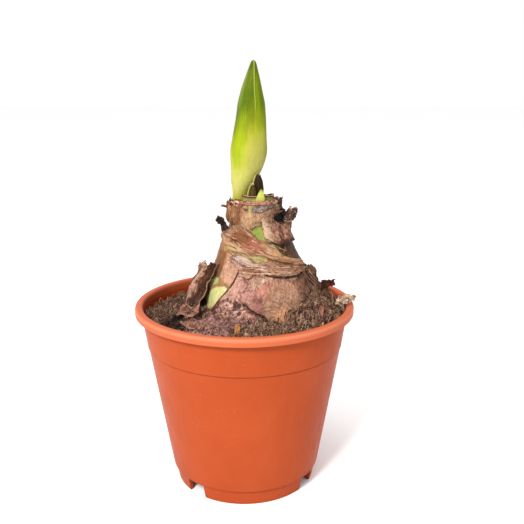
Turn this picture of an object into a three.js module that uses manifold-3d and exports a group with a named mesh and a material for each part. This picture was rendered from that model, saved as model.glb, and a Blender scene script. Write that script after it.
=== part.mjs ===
// A sprouting amaryllis bulb in a plastic nursery pot.
// Millimetres, +Z up, the front of the object towards -Y, the origin on the pot's axis at the ground.

import * as THREE from 'three';
import { mergeVertices } from 'three/addons/utils/BufferGeometryUtils.js';
import Module from 'manifold-3d';

const wasm = await Module();
wasm.setup();

// Driving dimensions of the pot.
const RIM_RADIUS = 65;
const POT_HEIGHT = 110.5;
const RIM_BAND = 4.8;
const RIM_HOLLOW = 2.6;
const WALL = 1.2;
const WALL_TOP_RADIUS = 61.2;
const LEDGE_RADIUS = 45;
const LEDGE_HEIGHT = 9.5;
const FOOT_TOP_RADIUS = 43.7;
const FOOT_BOTTOM_RADIUS = 42.2;
const FOOT_THICKNESS = 2.2;
const STACK_LINE_HEIGHT = 86.3;
const STACK_LINE_STEP = 0.4;
const NOTCH_ANGLE = 16.5;
const NOTCH_AZIMUTHS = [-41.5, 59.5, 138.5, -120.5];
const POT_SEGMENTS = 60;

// Driving dimensions of the bulb and its neck.
const BULB_BASE = 57;
const NECK_TOP = 166;
const NECK_DISH = 0.8;
const BULB_SEGMENTS = 44;
const SCALE_THICKNESS = 0.8;
const GAP = 0.35;
const RING_TOP = 172.8;
const COLLAR_RADIUS = 9.8;
const COLLAR_TOP = 174.8;
const COLLAR_WALL = 1.1;
const BUD_TOP = 249.6;

const radians = THREE.MathUtils.degToRad;
const lerp = THREE.MathUtils.lerp;
const clamp = THREE.MathUtils.clamp;
const smooth = THREE.MathUtils.smoothstep;

// A smooth curve through stations [x, y], rising or falling without overshoot between them.
function curve(stations) {
  const last = stations.length - 1;
  const slopes = [];
  for (let i = 0; i < last; i += 1) {
    const rise = stations[i + 1][1] - stations[i][1];
    slopes.push(rise / (stations[i + 1][0] - stations[i][0]));
  }
  const tangents = stations.map((station, i) => {
    if (i === 0) return slopes[0];
    if (i === last) return slopes[last - 1];
    if (slopes[i - 1] * slopes[i] <= 0) return 0;
    return (2 * slopes[i - 1] * slopes[i]) / (slopes[i - 1] + slopes[i]);
  });
  return (x) => {
    const place = clamp(x, stations[0][0], stations[last][0]);
    let i = 0;
    while (i < last - 1 && place > stations[i + 1][0]) i += 1;
    const width = stations[i + 1][0] - stations[i][0];
    const t = (place - stations[i][0]) / width;
    const start = (2 * t - 3) * t * t + 1;
    return start * stations[i][1] + (1 - start) * stations[i + 1][1]
      + t * (1 - t) * width * ((1 - t) * tangents[i] - t * tangents[i + 1]);
  };
}

// Smooth lumps between about -1 and 1, with the given spacing in millimetres.
function lumps(x, y, z, spacing, seed) {
  const k = (2 * Math.PI) / spacing;
  const a = Math.sin(k * (0.93 * x + 0.37 * y) + seed) * Math.sin(k * (0.41 * z - 0.79 * x) + 1.7 * seed);
  const b = Math.sin(k * (0.88 * y + 0.52 * z) + 2.3 * seed);
  const c = Math.sin(k * (0.71 * x - 0.31 * y + 0.6 * z) + 0.9 * seed);
  return 0.6 * a + 0.55 * b * c;
}

// A rounded hill: 1 at its centre and falling to nothing a few spreads away.
function hill(distance, spread) {
  return Math.exp(-0.5 * (distance / spread) ** 2);
}

// A body whose shared vertices are merged, with every vertex moved by a function.
function moved(geometry, move) {
  const bare = geometry.clone();
  bare.deleteAttribute('normal');
  bare.deleteAttribute('uv');
  const merged = mergeVertices(bare, 1e-4);
  const position = merged.getAttribute('position');
  const point = new THREE.Vector3();
  for (let i = 0; i < position.count; i += 1) {
    point.fromBufferAttribute(position, i);
    const target = move(point.x, point.y, point.z);
    position.setXYZ(i, target.x, target.y, target.z);
  }
  return merged;
}

// A lathed body whose points are given as (azimuth in degrees, radius, height) to a moving function.
// Azimuth 0 is the front and +90 the viewer's right.
function lathed(profile, segments, move) {
  const points = profile.map(([radius, height]) => new THREE.Vector2(radius, height));
  const lathe = new THREE.LatheGeometry(points, segments);
  return moved(lathe, (x, y, z) => move(THREE.MathUtils.radToDeg(Math.atan2(x, z)), Math.hypot(x, z), y));
}

// A point at an azimuth and distance from an upright axis.
function around(axisX, axisY, azimuth, radius, height) {
  const angle = radians(azimuth);
  return new THREE.Vector3(axisX + radius * Math.sin(angle), axisY - radius * Math.cos(angle), height);
}

// A slab with corners (u, v, side) from 0 to 1. Its under and upper face are split into triangles
// alike, so that a waved sheet made from it never crosses itself.
function slab(countU, countV) {
  const corners = [];
  const triangles = [];
  const at = (i, j, side) => (side * (countV + 1) + j) * (countU + 1) + i;
  const quad = (a, b, c, d) => triangles.push(a, b, c, a, c, d);
  for (let side = 0; side <= 1; side += 1) {
    for (let j = 0; j <= countV; j += 1) {
      for (let i = 0; i <= countU; i += 1) corners.push(i / countU, j / countV, side);
    }
  }
  for (let j = 0; j < countV; j += 1) {
    for (let i = 0; i < countU; i += 1) {
      quad(at(i, j, 1), at(i + 1, j, 1), at(i + 1, j + 1, 1), at(i, j + 1, 1));
      quad(at(i, j, 0), at(i, j + 1, 0), at(i + 1, j + 1, 0), at(i + 1, j, 0));
    }
    quad(at(0, j + 1, 0), at(0, j, 0), at(0, j, 1), at(0, j + 1, 1));
    quad(at(countU, j, 0), at(countU, j + 1, 0), at(countU, j + 1, 1), at(countU, j, 1));
  }
  for (let i = 0; i < countU; i += 1) {
    quad(at(i, 0, 0), at(i + 1, 0, 0), at(i + 1, 0, 1), at(i, 0, 1));
    quad(at(i + 1, countV, 0), at(i, countV, 0), at(i, countV, 1), at(i + 1, countV, 1));
  }
  const geometry = new THREE.BufferGeometry();
  geometry.setAttribute('position', new THREE.Float32BufferAttribute(corners, 3));
  geometry.setIndex(triangles);
  return geometry;
}

// A thin solid sheet over point(u, v): u and v run from 0 to 1 and the sheet thickens along u x v.
// A margin grows the sheet on all sides, for the hollow that another body needs around it.
function sheet(point, countU, countV, thickness = SCALE_THICKNESS, margin = 0) {
  const step = 1e-3;
  const border = (share) => (share > 0.999) - (share < 0.001);
  return moved(slab(countU, countV), (u, v, side) => {
    const alongU = point(u + step, v).sub(point(u - step, v));
    const alongV = point(u, v + step).sub(point(u, v - step));
    const normal = new THREE.Vector3().crossVectors(alongU, alongV).normalize();
    const place = point(u, v);
    if (margin > 0) {
      place.addScaledVector(alongU.normalize(), margin * border(u));
      place.addScaledVector(alongV.normalize(), margin * border(v));
    }
    return place.addScaledVector(normal, side > 0.5 ? thickness + margin : -margin);
  });
}

// Joining and cutting of closed bodies.
function toSolid(geometry) {
  const vertProperties = Float32Array.from(geometry.getAttribute('position').array);
  const triVerts = Uint32Array.from(geometry.getIndex().array);
  return new wasm.Manifold(new wasm.Mesh({ numProp: 3, vertProperties, triVerts }));
}

function toGeometry(solid) {
  const mesh = solid.getMesh();
  const geometry = new THREE.BufferGeometry();
  geometry.setAttribute('position', new THREE.BufferAttribute(Float32Array.from(mesh.vertProperties), 3));
  geometry.setIndex(new THREE.BufferAttribute(Uint32Array.from(mesh.triVerts), 1));
  return geometry;
}

// A cut may leave loose crumbs: the largest piece stays.
function cut(geometry, tools) {
  const solid = tools.reduce((body, tool) => body.subtract(toSolid(tool)), toSolid(geometry));
  const pieces = solid.decompose();
  return toGeometry(pieces.reduce((largest, piece) => (piece.volume() > largest.volume() ? piece : largest)));
}

function join(geometry, others) {
  return toGeometry(others.reduce((solid, other) => solid.add(toSolid(other)), toSolid(geometry)));
}

const plant = new THREE.Group();

function add(name, geometry, color, roughness) {
  const finished = geometry.clone();
  finished.computeVertexNormals();
  const material = new THREE.MeshStandardMaterial({ color, roughness, metalness: 0 });
  const mesh = new THREE.Mesh(finished, material);
  mesh.name = name;
  plant.add(mesh);
}

// The pot

// The wall's outer radius, tapering from the ledge to the rim, with the stacking line's small step.
function wallRadius(height) {
  const along = (height - LEDGE_HEIGHT) / (POT_HEIGHT - RIM_BAND - LEDGE_HEIGHT);
  return lerp(LEDGE_RADIUS, WALL_TOP_RADIUS, along);
}

function potProfile() {
  const bandBottom = POT_HEIGHT - RIM_BAND;
  const skirtInner = WALL_TOP_RADIUS + RIM_HOLLOW;
  const hollowTop = POT_HEIGHT - 2.1;
  const floorTop = LEDGE_HEIGHT + WALL;
  return [
    [0, LEDGE_HEIGHT],
    [FOOT_TOP_RADIUS - FOOT_THICKNESS, LEDGE_HEIGHT],
    [FOOT_BOTTOM_RADIUS - FOOT_THICKNESS, 0],
    [FOOT_BOTTOM_RADIUS - 0.5, 0],
    [FOOT_BOTTOM_RADIUS, 0.6],
    [FOOT_TOP_RADIUS, LEDGE_HEIGHT - 0.7],
    [LEDGE_RADIUS - 0.5, LEDGE_HEIGHT - 0.4],
    [LEDGE_RADIUS, LEDGE_HEIGHT + 0.2],
    [wallRadius(STACK_LINE_HEIGHT - 0.2), STACK_LINE_HEIGHT - 0.2],
    [wallRadius(STACK_LINE_HEIGHT) + STACK_LINE_STEP, STACK_LINE_HEIGHT + 0.2],
    [WALL_TOP_RADIUS + 0.1, bandBottom],
    [WALL_TOP_RADIUS + 0.1, hollowTop],
    [skirtInner, hollowTop],
    [skirtInner, bandBottom],
    [RIM_RADIUS, bandBottom],
    [RIM_RADIUS, POT_HEIGHT - 1.9],
    [RIM_RADIUS - 0.6, POT_HEIGHT - 0.6],
    [RIM_RADIUS - 1.9, POT_HEIGHT],
    [WALL_TOP_RADIUS + 0.6, POT_HEIGHT - 0.1],
    [WALL_TOP_RADIUS - 0.7, POT_HEIGHT - 1.2],
    [WALL_TOP_RADIUS - WALL, POT_HEIGHT - 3],
    [wallRadius(STACK_LINE_HEIGHT) - WALL + 0.2, STACK_LINE_HEIGHT],
    [wallRadius(floorTop + 2.4) - WALL, floorTop + 2.4],
    [wallRadius(floorTop) - WALL - 1.8, floorTop],
    [0, floorTop],
  ];
}

function potGeometry() {
  const body = lathed(potProfile(), POT_SEGMENTS, (az, r, z) => around(0, 0, az, r, z));
  const notchWidth = 2 * FOOT_TOP_RADIUS * Math.sin(radians(NOTCH_ANGLE / 2));
  const keep = (x, y, z) => new THREE.Vector3(x, y, z);
  const tools = [];
  NOTCH_AZIMUTHS.forEach((azimuth) => {
    const notch = new THREE.BoxGeometry(notchWidth, 10, LEDGE_HEIGHT + 2);
    notch.translate(0, 1 - FOOT_TOP_RADIUS, LEDGE_HEIGHT / 2 - 1);
    notch.rotateZ(radians(azimuth));
    const drain = new THREE.BoxGeometry(notchWidth - 2, 4.5, 6);
    drain.translate(0, 6.4 - FOOT_TOP_RADIUS, LEDGE_HEIGHT + 0.6);
    drain.rotateZ(radians(azimuth));
    tools.push(moved(notch, keep), moved(drain, keep));
  });
  return cut(body, tools);
}

// The bulb

const bulbRadius = curve([[57, 9], [62, 17], [68, 25], [76, 31.5], [86, 35.2], [96, 36.4], [106, 36],
  [114, 34.4], [120, 32.2], [126, 29], [132, 25.6], [138, 22.8], [146, 20], [154, 16.6], [160, 14.2],
  [166, 13], [172, 12.9]]);
const bulbAxisX = curve([[60, 9.5], [110, 10], [126, 9.4], [140, 8.2], [150, 7.2], [160, 6.4], [172, 6.2]]);
const bulbAxisY = curve([[60, 4], [110, 4], [140, 2], [172, 1]]);

// The bulb's own unevenness: fuller flanks, the dome of the lower front and the hollow beside it.
function bulbRelief(azimuth, height) {
  const side = Math.sin(radians(azimuth)) ** 2;
  const flanks = 1.4 * side * smooth(height, 126, 134) * (1 - smooth(height, 148, 156));
  const dome = 1.5 * hill(azimuth - 20, 20) * hill(height - 119, 8);
  const hollow = 1.1 * hill(azimuth + 10, 9) * hill(height - 118, 9);
  const place = around(0, 0, azimuth, 30, height);
  const uneven = 0.45 * lumps(place.x, place.y, place.z, 31, 2.1) * smooth(height, 60, 80);
  return flanks + dome - hollow + uneven * (1 - smooth(height, 156, 164));
}

// The bulb's surface at an azimuth and height, moved outwards by a lift.
function skin(azimuth, height, lift = 0) {
  const radius = bulbRadius(height) + bulbRelief(azimuth, height);
  const slope = bulbRadius(height + 0.5) - bulbRadius(height - 0.5);
  const outward = 1 / Math.hypot(1, slope);
  return around(bulbAxisX(height), bulbAxisY(height), azimuth,
    radius + lift * outward, height - lift * slope * outward);
}

// The body of the bulb: lathe stations hold the share of the full radius instead of a radius.
function bulbGeometry(lift = 0) {
  const profile = [[0, BULB_BASE + 0.6], [0.7, BULB_BASE]];
  const rings = [58, 61, 65, 70, 77, 86, 95, 102, 107, 111, 115, 119, 123, 127, 131, 135, 140, 146, 152, 157,
    161.5];
  rings.forEach((height) => profile.push([1, height]));
  profile.push([1, NECK_TOP], [0.82, NECK_TOP], [0, NECK_TOP - NECK_DISH]);
  return lathed(profile, BULB_SEGMENTS, (azimuth, share, height) => {
    const outer = skin(azimuth, Math.max(height, BULB_BASE + 1), lift);
    const x = lerp(bulbAxisX(height), outer.x, share);
    const y = lerp(bulbAxisY(height), outer.y, share);
    const capShift = height >= NECK_TOP ? lift : 0;
    const baseShift = height <= BULB_BASE + 0.6 ? -lift : 0;
    return new THREE.Vector3(x, y, share < 1 || height >= NECK_TOP ? height + capShift + baseShift : outer.z);
  });
}

// The dry scales: each lies over a field of azimuth and height on the bulb, at its own lift.

function scaleOverBulb(field) {
  return (u, v) => {
    const azimuth = lerp(field.left(v), field.right(v), u);
    const height = lerp(field.bottom(azimuth), field.top(azimuth), v);
    return skin(azimuth, height, field.lift(u, v, azimuth, height));
  };
}

// The big lower scale, whose left edge is the thin red line.
const lowerFront = {
  left: curve([[0, -64], [0.2, -54], [0.38, -46.5], [0.54, -39.5], [0.67, -34.5], [0.85, -29.5], [1, -26]]),
  right: () => 108,
  bottom: curve([[-66, 99], [-40, 101], [0, 103.5], [30, 105], [60, 109], [108, 112]]),
  top: curve([[-66, 133], [-27, 135.2], [10, 134.8], [44, 133.6], [60, 132.4], [108, 131]]),
  crease: curve([[-30, 122], [-22, 119.2], [-8, 113.4], [0, 111.8], [6, 108], [12, 100]]),
  lift(u, v, azimuth, height) {
    const below = this.crease(azimuth) - height;
    const fold = azimuth < 12 && azimuth > -62 ? smooth(below, 0, 1.6) * (1 - smooth(azimuth, 4, 12)) : 0;
    const groove = 0.7 * hill(below, 1.1) * hill(azimuth + 6, 12);
    const place = around(0, 0, azimuth, 34, height);
    const rough = 0.35 * lumps(place.x, place.y, place.z, 9, 0.7);
    const edge = 0.7 * hill(u, 0.02);
    const base = 1 - 0.45 * smooth(azimuth, 50, 72);
    return base + 1.1 * fold - groove * 0.5 + rough * (0.3 + fold) + edge;
  },
};

// The rough whitish-pink layer, a lens shape with a free lower edge.
const middle = {
  left: () => -44,
  right: () => 70,
  top: curve([[-44, 142], [-30, 143.6], [-17, 142.4], [-3, 139.4], [13, 139.6], [25, 138], [41, 136.8],
    [53, 134.4], [70, 133]]),
  bottom: curve([[-44, 138.6], [-30, 136], [-21, 131.6], [-12.7, 129.6], [-3.8, 132.8], [9.7, 132.4],
    [20.6, 131.1], [35.3, 130.3], [46.5, 130.5], [56, 131.4], [70, 132.2]]),
  lift(u, v, azimuth, height) {
    const free = (1 - smooth(v, 0, 0.6)) * 1.1 * hill(azimuth - 28, 26);
    const place = around(0, 0, azimuth, 26, height);
    return Math.max(2.4, 2.6 - 0.4 * v + free + 0.3 * lumps(place.x, place.y, place.z, 8, 3.3));
  },
};

// The reddish scale that runs diagonally from the upper left to the lower right.
const wrap = {
  left: () => -128,
  right: () => 72,
  top: curve([[-128, 154], [-68, 155.6], [-31.5, 156.3], [-11.6, 154.9], [3.5, 151.6], [14.3, 150],
    [27, 147.6], [36, 143.2], [50, 140.4], [72, 137.6]]),
  bottom: curve([[-128, 148.5], [-74, 149.6], [-55, 147.6], [-35, 146.7], [-18, 144.3], [-7, 143.4],
    [6, 143.2], [14, 142], [25, 139.9], [41, 138.2], [53, 136.2], [72, 134.6]]),
  lift(u, v, azimuth, height) {
    const place = around(0, 0, azimuth, 20, height);
    const belly = 0.9 * Math.sin(Math.PI * clamp(v, 0, 1));
    return 0.45 + belly + 0.5 * (1 - smooth(v, 0, 0.3)) + 0.12 * lumps(place.x, place.y, place.z, 7, 1.9);
  },
};

// The brown scale over the left of the neck, with a small shred that points outwards.
const neckLeft = {
  left: () => -112,
  right: () => -33,
  bottom: curve([[-112, 160], [-80, 158.6], [-50, 158.2], [-33, 160]]),
  top: curve([[-112, 168.5], [-92, 171.4], [-78, 170.2], [-64, 172], [-48, 170.2], [-33, 167.5]]),
  lift(u, v, azimuth, height) {
    const frill = 0.35 * Math.sin(radians(azimuth * 5)) * v;
    return 2.5 + 0.6 * v + frill + 0.25 * lumps(azimuth / 4, 0, height, 8, 1);
  },
};

// The tall dry scale that stands off the bulb on the left, dark inside, its foot in the soil.
const peeling = {
  back: -128,
  front: (v) => lerp(-50, -70, v),
  bottom: curve([[-128, 99], [-90, 100], [-50, 102]]),
  top: curve([[-128, 117], [-112, 125], [-100, 131], [-93, 134.2], [-87, 132.4], [-80, 137], [-75, 135.4],
    [-70, 138], [-50, 138]]),
};

function peelingPoint(u, v) {
  const azimuth = lerp(peeling.back, peeling.front(v), u);
  const height = lerp(peeling.bottom(azimuth), peeling.top(azimuth), v);
  const middleStand = lerp(10.4, 6.6, v) * smooth(u, -0.1, 0.5);
  const frontStand = lerp(8, 2.8, smooth(v, 0.1, 1));
  const waves = 0.45 * Math.sin(9 * u + 4 * v);
  const stand = lerp(middleStand, frontStand, smooth(u, 0.62, 1)) + waves + 1;
  const radius = bulbRadius(height) + bulbRelief(azimuth, height) + stand;
  return around(bulbAxisX(height), bulbAxisY(height), azimuth, radius, height);
}

// The dark torn skin that runs down the bulb's right shoulder, with a nub on its edge.
const tornRight = {
  left: (v) => lerp(88, 71, v),
  right: () => 128,
  bottom: curve([[71, 117], [88, 115], [128, 114]]),
  top: curve([[71, 130.4], [84, 131.6], [96, 130.6], [128, 127]]),
  lift(u, v, azimuth, height) {
    const nub = 2.6 * hill(azimuth - 91, 6) * hill(height - 127.5, 2.2);
    const ragged = 0.6 * Math.sin(height * 1.3) * (1 - smooth(u, 0, 0.4));
    return Math.max(1.85, 2 + nub + ragged + 0.3 * smooth(u, 0, 0.5));
  },
};

// Free-standing flaps and pieces

// A flat blade frame: an origin, a long direction and a width direction.
function blade(origin, along, across) {
  const start = new THREE.Vector3(...origin);
  const long = new THREE.Vector3(...along);
  const wide = new THREE.Vector3(...across);
  const up = new THREE.Vector3().crossVectors(long, wide).normalize();
  return (a, b, c) => start.clone().addScaledVector(long, a).addScaledVector(wide, b).addScaledVector(up, c);
}

// The big curled flap on the right of the neck: a bulging sheet, its top lip curled inwards.
const curledFlap = {
  bottom: curve([[13, 152.4], [22, 149.6], [34, 147.8], [60, 147.6], [100, 149.4], [118, 151]]),
  top: curve([[13, 161], [22, 163], [38, 166], [60, 166.4], [86, 165.5], [118, 163.5]]),
  stand: curve([[13, 2.2], [20, 3.2], [34, 4.4], [60, 5.2], [84, 5], [100, 3.6], [118, 2.3]]),
};

function curledFlapPoint(u, v) {
  const azimuth = lerp(13, 118, u);
  const height = lerp(curledFlap.bottom(azimuth), curledFlap.top(azimuth), v);
  const inward = smooth(v, 0.68, 1) * 0.62;
  const waves = 0.35 * Math.sin(radians(azimuth) * 9 + 5 * v);
  const bulge = 0.9 * Math.sin(Math.PI * clamp(v, 0, 1));
  const closeBelow = smooth(azimuth, 45, 80) * (1 - smooth(v, 0.05, 0.55));
  const stand = lerp(curledFlap.stand(azimuth), 2.1, inward);
  const lift = lerp(stand, 0.9, closeBelow) + bulge * (1 - closeBelow);
  const least = lerp(2.25, 1, 1 - smooth(height, 155, 157.5));
  return skin(azimuth, height, Math.max(least, lift + waves));
}

// The horn at the top of the curled flap: dried skin rolled up like a small scroll.
function hornPoint(u, v) {
  const roll = radians(lerp(-150, 165, u));
  const radius = 2.5 - 0.2 * v + 0.25 * Math.sin(7 * v);
  const axisX = 25.8 + 2.6 * v;
  const axisY = -5.2 + 0.6 * v;
  const height = lerp(160.6, 168.6 + 0.8 * Math.sin(2 * roll), v);
  return new THREE.Vector3(axisX + radius * Math.sin(roll), axisY - radius * Math.cos(roll), height);
}

// The small shred on the left scale of the neck.
function smallHornPoint(u, v) {
  const place = blade([-8.3, -6.8, 167.4], [-4.8, 0.6, 1.6], [0.25, -0.5, 0.83]);
  return place(u, (v - 0.5) * lerp(2.6, 1.6, u), 0.9 * Math.sin(Math.PI * u));
}

// The small blackened flap on the left of the neck, pointing up and outwards.
function blackFlapPoint(u, v) {
  const width = lerp(5.4, 2.2, u * u);
  const place = blade([-11.6, -7.4, 157.2], [-4.2, 1.6, 6.2], [0.62, -0.1, 0.6]);
  return place(u, (v - 0.5) * width + 0.5 * Math.sin(5 * u), 0.5 * Math.sin(4 * u + 2 * v));
}

// The dark flap that points to the right, over the soil.
function tornFlapPoint(u, v) {
  const width = lerp(9, 3.2, u) * (1 - 0.22 * hill(u - 0.55, 0.15));
  const place = blade([44.5, -5.1, 122.4], [9.4, 2, 0.8], [0.1, -0.45, 0.89]);
  return place(u, (v - 0.5) * width, 0.9 * Math.sin(4 * v + 2 * u) + 0.5 * Math.sin(8 * u));
}

// The pale dried piece that lies curled on the rim at the right.
function driedFlapPoint(u, v) {
  const width = lerp(7.4, 3.2, smooth(u, 0.35, 1)) * (0.75 + 0.25 * smooth(u, 0, 0.3));
  const place = blade([53.4, -11.2, 114.4], [12.6, 3.2, 0.8], [0.35, 0.85, 0.62]);
  const droop = 1.1 * (1 - clamp(v, 0, 1)) ** 4;
  const fold = -2.4 * Math.abs(v - 0.42) ** 1.3 + 0.35 * Math.sin(9 * v + 5 * u) - droop;
  return place(u, (v - 0.5) * width, fold + 0.8 * Math.sin(3 * u));
}

// The pale thin tail of the dried piece, which hangs down inside the rim.
function driedTailPoint(u, v) {
  const width = lerp(2.6, 1.6, u);
  const place = blade([55.3, -12.6, 113.4], [1.8, -2.2, -4.4], [0.8, 0.4, 0.1]);
  return place(u, (v - 0.5) * width, 1.4 * Math.sin(Math.PI * u));
}

// Crumpled bits of fallen scale on the soil at the left.
function fallenLeftPoint(u, v) {
  const place = blade([-36.5, -20.5, 110.6], [11.5, -4.6, 1.2], [3.4, 6.4, 4.6]);
  const ripple = 1.1 * Math.sin(6.4 * u + 1.2) * (0.4 + v) + 0.7 * Math.sin(5 * v + 3 * u);
  return place(u, v - 0.5 + 0.12 * Math.sin(7 * u), ripple);
}

function fallenFrontPoint(u, v) {
  const place = blade([-33.2, -33.6, 107.4], [12.4, -7, 0.6], [2.6, 5.6, 3.2]);
  const ripple = 0.9 * Math.sin(7 * u) * (0.5 + 0.5 * v) + 0.8 * Math.sin(4 * v + 1);
  return place(u, v - 0.5 + 0.1 * Math.sin(9 * u), ripple);
}

// The bud, its scape and the young leaves

const budCentre = curve([[166.3, -3.4], [172, -3.3], [175.5, -2.5], [182.4, -0.95], [189.3, 1.1], [196, 2.4],
  [206, 3.15], [219.3, 4.1], [232.3, 4.45], [245.1, 5.35], [249.6, 5.65]]);
const budHalfWidth = curve([[166.3, 3.2], [172, 3.7], [175.5, 4.35], [179, 5.45], [182.4, 6.85],
  [189.3, 8.8], [196, 10], [199.4, 10.15], [206, 9.55], [219.3, 8.1], [225.8, 7.5], [232.3, 6.05],
  [238.7, 4.4], [245.1, 2.45], [248.3, 1.35], [249.6, 0.5]]);
const budFlatness = curve([[166.3, 1.1], [175, 1], [190, 0.74], [220, 0.7], [249.6, 0.9]]);

// Lathe stations hold the share of the bud's half width; two blunt keels mark the spathe's seams.
function budGeometry() {
  const stations = [166.6, 169.5, 172, 175.5, 179, 182.4, 186, 189.3, 192.6, 196, 199.4, 206, 212.7, 219.3,
    225.8, 232.3, 238.7, 243, 246.6];
  const profile = [[0, stations[0]], ...stations.map((height) => [1, height]), [0, BUD_TOP]];
  return lathed(profile, 20, (azimuth, share, height) => {
    const half = budHalfWidth(height) * Math.min(share, 1);
    const angle = radians(azimuth);
    const seam = 1 + 0.07 * hill(Math.abs(azimuth) - 90, 14) * smooth(height, 185, 200);
    const depth = half * budFlatness(height);
    const y = 2.6 - 0.6 * smooth(height, 170, 190);
    return new THREE.Vector3(budCentre(height) + half * Math.sin(angle) * (seam - 0.07 * seam * 0.5),
      y - depth * Math.cos(angle), height);
  });
}

// A young leaf tip: a pointed blade, slightly folded along its middle.
function leafPoint(baseX, baseY, tipX, tipY, bottom, top, width, fold) {
  return (u, v) => {
    const narrowing = Math.max(0.1, 1 - clamp(v, 0, 1) ** 2.6);
    const side = u - 0.5;
    const x = lerp(baseX, tipX, v) + side * width * narrowing;
    const y = lerp(baseY, tipY, v) + fold * (4 * side * side) * narrowing;
    return new THREE.Vector3(x, y, lerp(bottom, top, v));
  };
}

function shootGeometry() {
  const stations = [[0, 166.6], [1, 166.6], [1, 169.6], [0.98, 172.4], [0.76, 174.6], [0.5, 176.8],
    [0.25, 178.6], [0, 179.6]];
  return lathed(stations, 14, (azimuth, share, height) => {
    const angle = radians(azimuth);
    const lean = -0.25 * smooth(height, 172, 180);
    const x = 9.3 + lean + share * 2.7 * Math.sin(angle);
    return new THREE.Vector3(x, -10.75 - share * 1.1 * Math.cos(angle), height);
  });
}

// The neck's cut sleeves

// The outer sleeve: a closed ring whose cut top edge is uneven.
const ringTop = curve([[-180, 170.6], [-120, 170.2], [-80, 170.4], [-45, 172], [-20, RING_TOP],
  [40, RING_TOP], [62, 171.6], [80, 172.4], [100, 170.8], [140, 171.2], [180, 170.6]]);
const ringBottom = curve([[-180, 158], [-60, 159], [-36, 158.9], [-16, 156.8], [6, 158.9], [60, 159],
  [180, 158]]);

function neckRingGeometry() {
  const inner = 0.75;
  const outer = 1.95;
  const shares = [0, 0.25, 0.5, 0.72, 0.9, 1];
  const profile = shares.map((share) => [outer, share]);
  profile.push(...shares.map((share) => [inner, share]).reverse());
  profile.push(profile[0]);
  return lathed(profile, 40, (azimuth, lift, share) => {
    const height = lerp(ringBottom(azimuth), ringTop(azimuth), share);
    const flare = 0.7 * smooth(height, 165, 172);
    const scar = lift > 1 ? -0.45 * hill(height - 168.8, 1.1) * hill(azimuth - 25, 22) : 0;
    const edge = share > 0.95 ? 0.3 * Math.sin(radians(azimuth * 7)) : 0;
    const crinkle = 1.1 * hill(azimuth - 68, 8) * hill(height - 169, 2.5) * (lift > 1 ? 1 : 0);
    return skin(azimuth, height, lift + flare + scar + crinkle).add(new THREE.Vector3(0, 0, edge));
  });
}

// The inner leaf base: a ring open at the back left, where the bud's stalk comes up beside it.
function innerCollarPoint(u, v) {
  const azimuth = lerp(-64, 212, u);
  const radius = COLLAR_RADIUS - COLLAR_WALL + 0.12 * Math.sin(radians(azimuth * 3));
  const rim = COLLAR_TOP + 0.25 * Math.sin(radians(azimuth * 4)) - 0.5 * smooth(azimuth, 120, 212);
  return around(7.6, 0.5, azimuth, radius, lerp(NECK_TOP + 0.4, rim, v));
}

// The soil

// The height of the soil's top: low at the back left, with mounds on both sides of the bulb.
function soilHeight(x, y) {
  const radius = Math.hypot(x, y);
  const azimuth = Math.atan2(x, -y);
  const base = 104 + 3 * Math.cos(azimuth - radians(35)) * smooth(radius, 0, 30);
  const rightMound = 11 * hill(Math.hypot(x - 36, y + 27), 9);
  const shoulderMound = 9.5 * hill(Math.hypot(x - 45, (y + 3) * 0.7), 6.5);
  const leftMound = 6.5 * hill(Math.hypot(x + 35, y + 18), 8.5);
  const frontLeftMound = 2.6 * hill(Math.hypot(x + 12, y + 40), 8);
  const backHeap = 3 * hill(Math.hypot(x - 8, y - 50), 14);
  const bulbDistance = Math.hypot(x - 10, y - 4) - 36;
  const against = 2.4 * hill(Math.max(bulbDistance, 0), 6);
  const mounds = rightMound + shoulderMound + leftMound + frontLeftMound + backHeap + against;
  const uneven = 1.5 * lumps(x, y, 0, 15, 0.6) + 1.1 * lumps(x, y, 7, 9, 3.1);
  const calm = 1 - 0.6 * smooth(radius, 50, 59);
  return base + (mounds + uneven) * calm;
}

function soilGeometry(tools) {
  const bottom = LEDGE_HEIGHT + WALL + GAP;
  const side = (height) => wallRadius(height) - WALL - GAP - 0.1;
  const profile = [[0, bottom], [side(bottom) - 2.6, bottom], [side(bottom + 2.8) - 0.2, bottom + 2.8]];
  [40, 70, 88].forEach((height) => profile.push([side(height), height]));
  const topRadii = [59, 56.5, 53, 49.5, 46, 42.5, 39, 35.5, 31, 24, 12];
  topRadii.forEach((radius) => profile.push([radius, 200]));
  profile.push([0, 200]);
  const body = lathed(profile, 54, (azimuth, radius, height) => {
    if (height < 199) return around(0, 0, azimuth, radius, height);
    const place = around(0, 0, azimuth, radius, 0);
    const top = soilHeight(place.x, place.y);
    const edge = radius > 58.9 ? side(top) / radius : 1;
    return new THREE.Vector3(place.x * edge, place.y * edge, top);
  });
  return cut(body, tools);
}

// Bark chips: small uneven slabs standing in the soil.
function chipGeometry(centre, size, tilt, margin = 0) {
  const box = new THREE.BoxGeometry(1, 1, 1, 2, 1, 4);
  const turn = new THREE.Euler(...tilt.map(radians));
  return moved(box, (x, y, z) => {
    const taper = 1 - 0.35 * Math.abs(z * 2) ** 2;
    const wave = 0.35 * Math.sin(6 * z + 3 * x);
    const place = new THREE.Vector3(x * (size[0] * taper + 2 * margin), y * (size[1] + 2 * margin) + wave,
      z * (size[2] + 2 * margin));
    return place.applyEuler(turn).add(new THREE.Vector3(...centre));
  });
}

const ORANGE_CHIP = { centre: [-2.9, -50.4, 109.4], size: [2.9, 1.6, 7.4], tilt: [-18, 8, 10] };
const RED_CHIP = { centre: [43, -31.5, 113.6], size: [3, 1.7, 7.6], tilt: [-24, 6, -12] };

function chip(spec, margin = 0) {
  return chipGeometry(spec.centre, spec.size, spec.tilt, margin);
}

// Assembly

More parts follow.
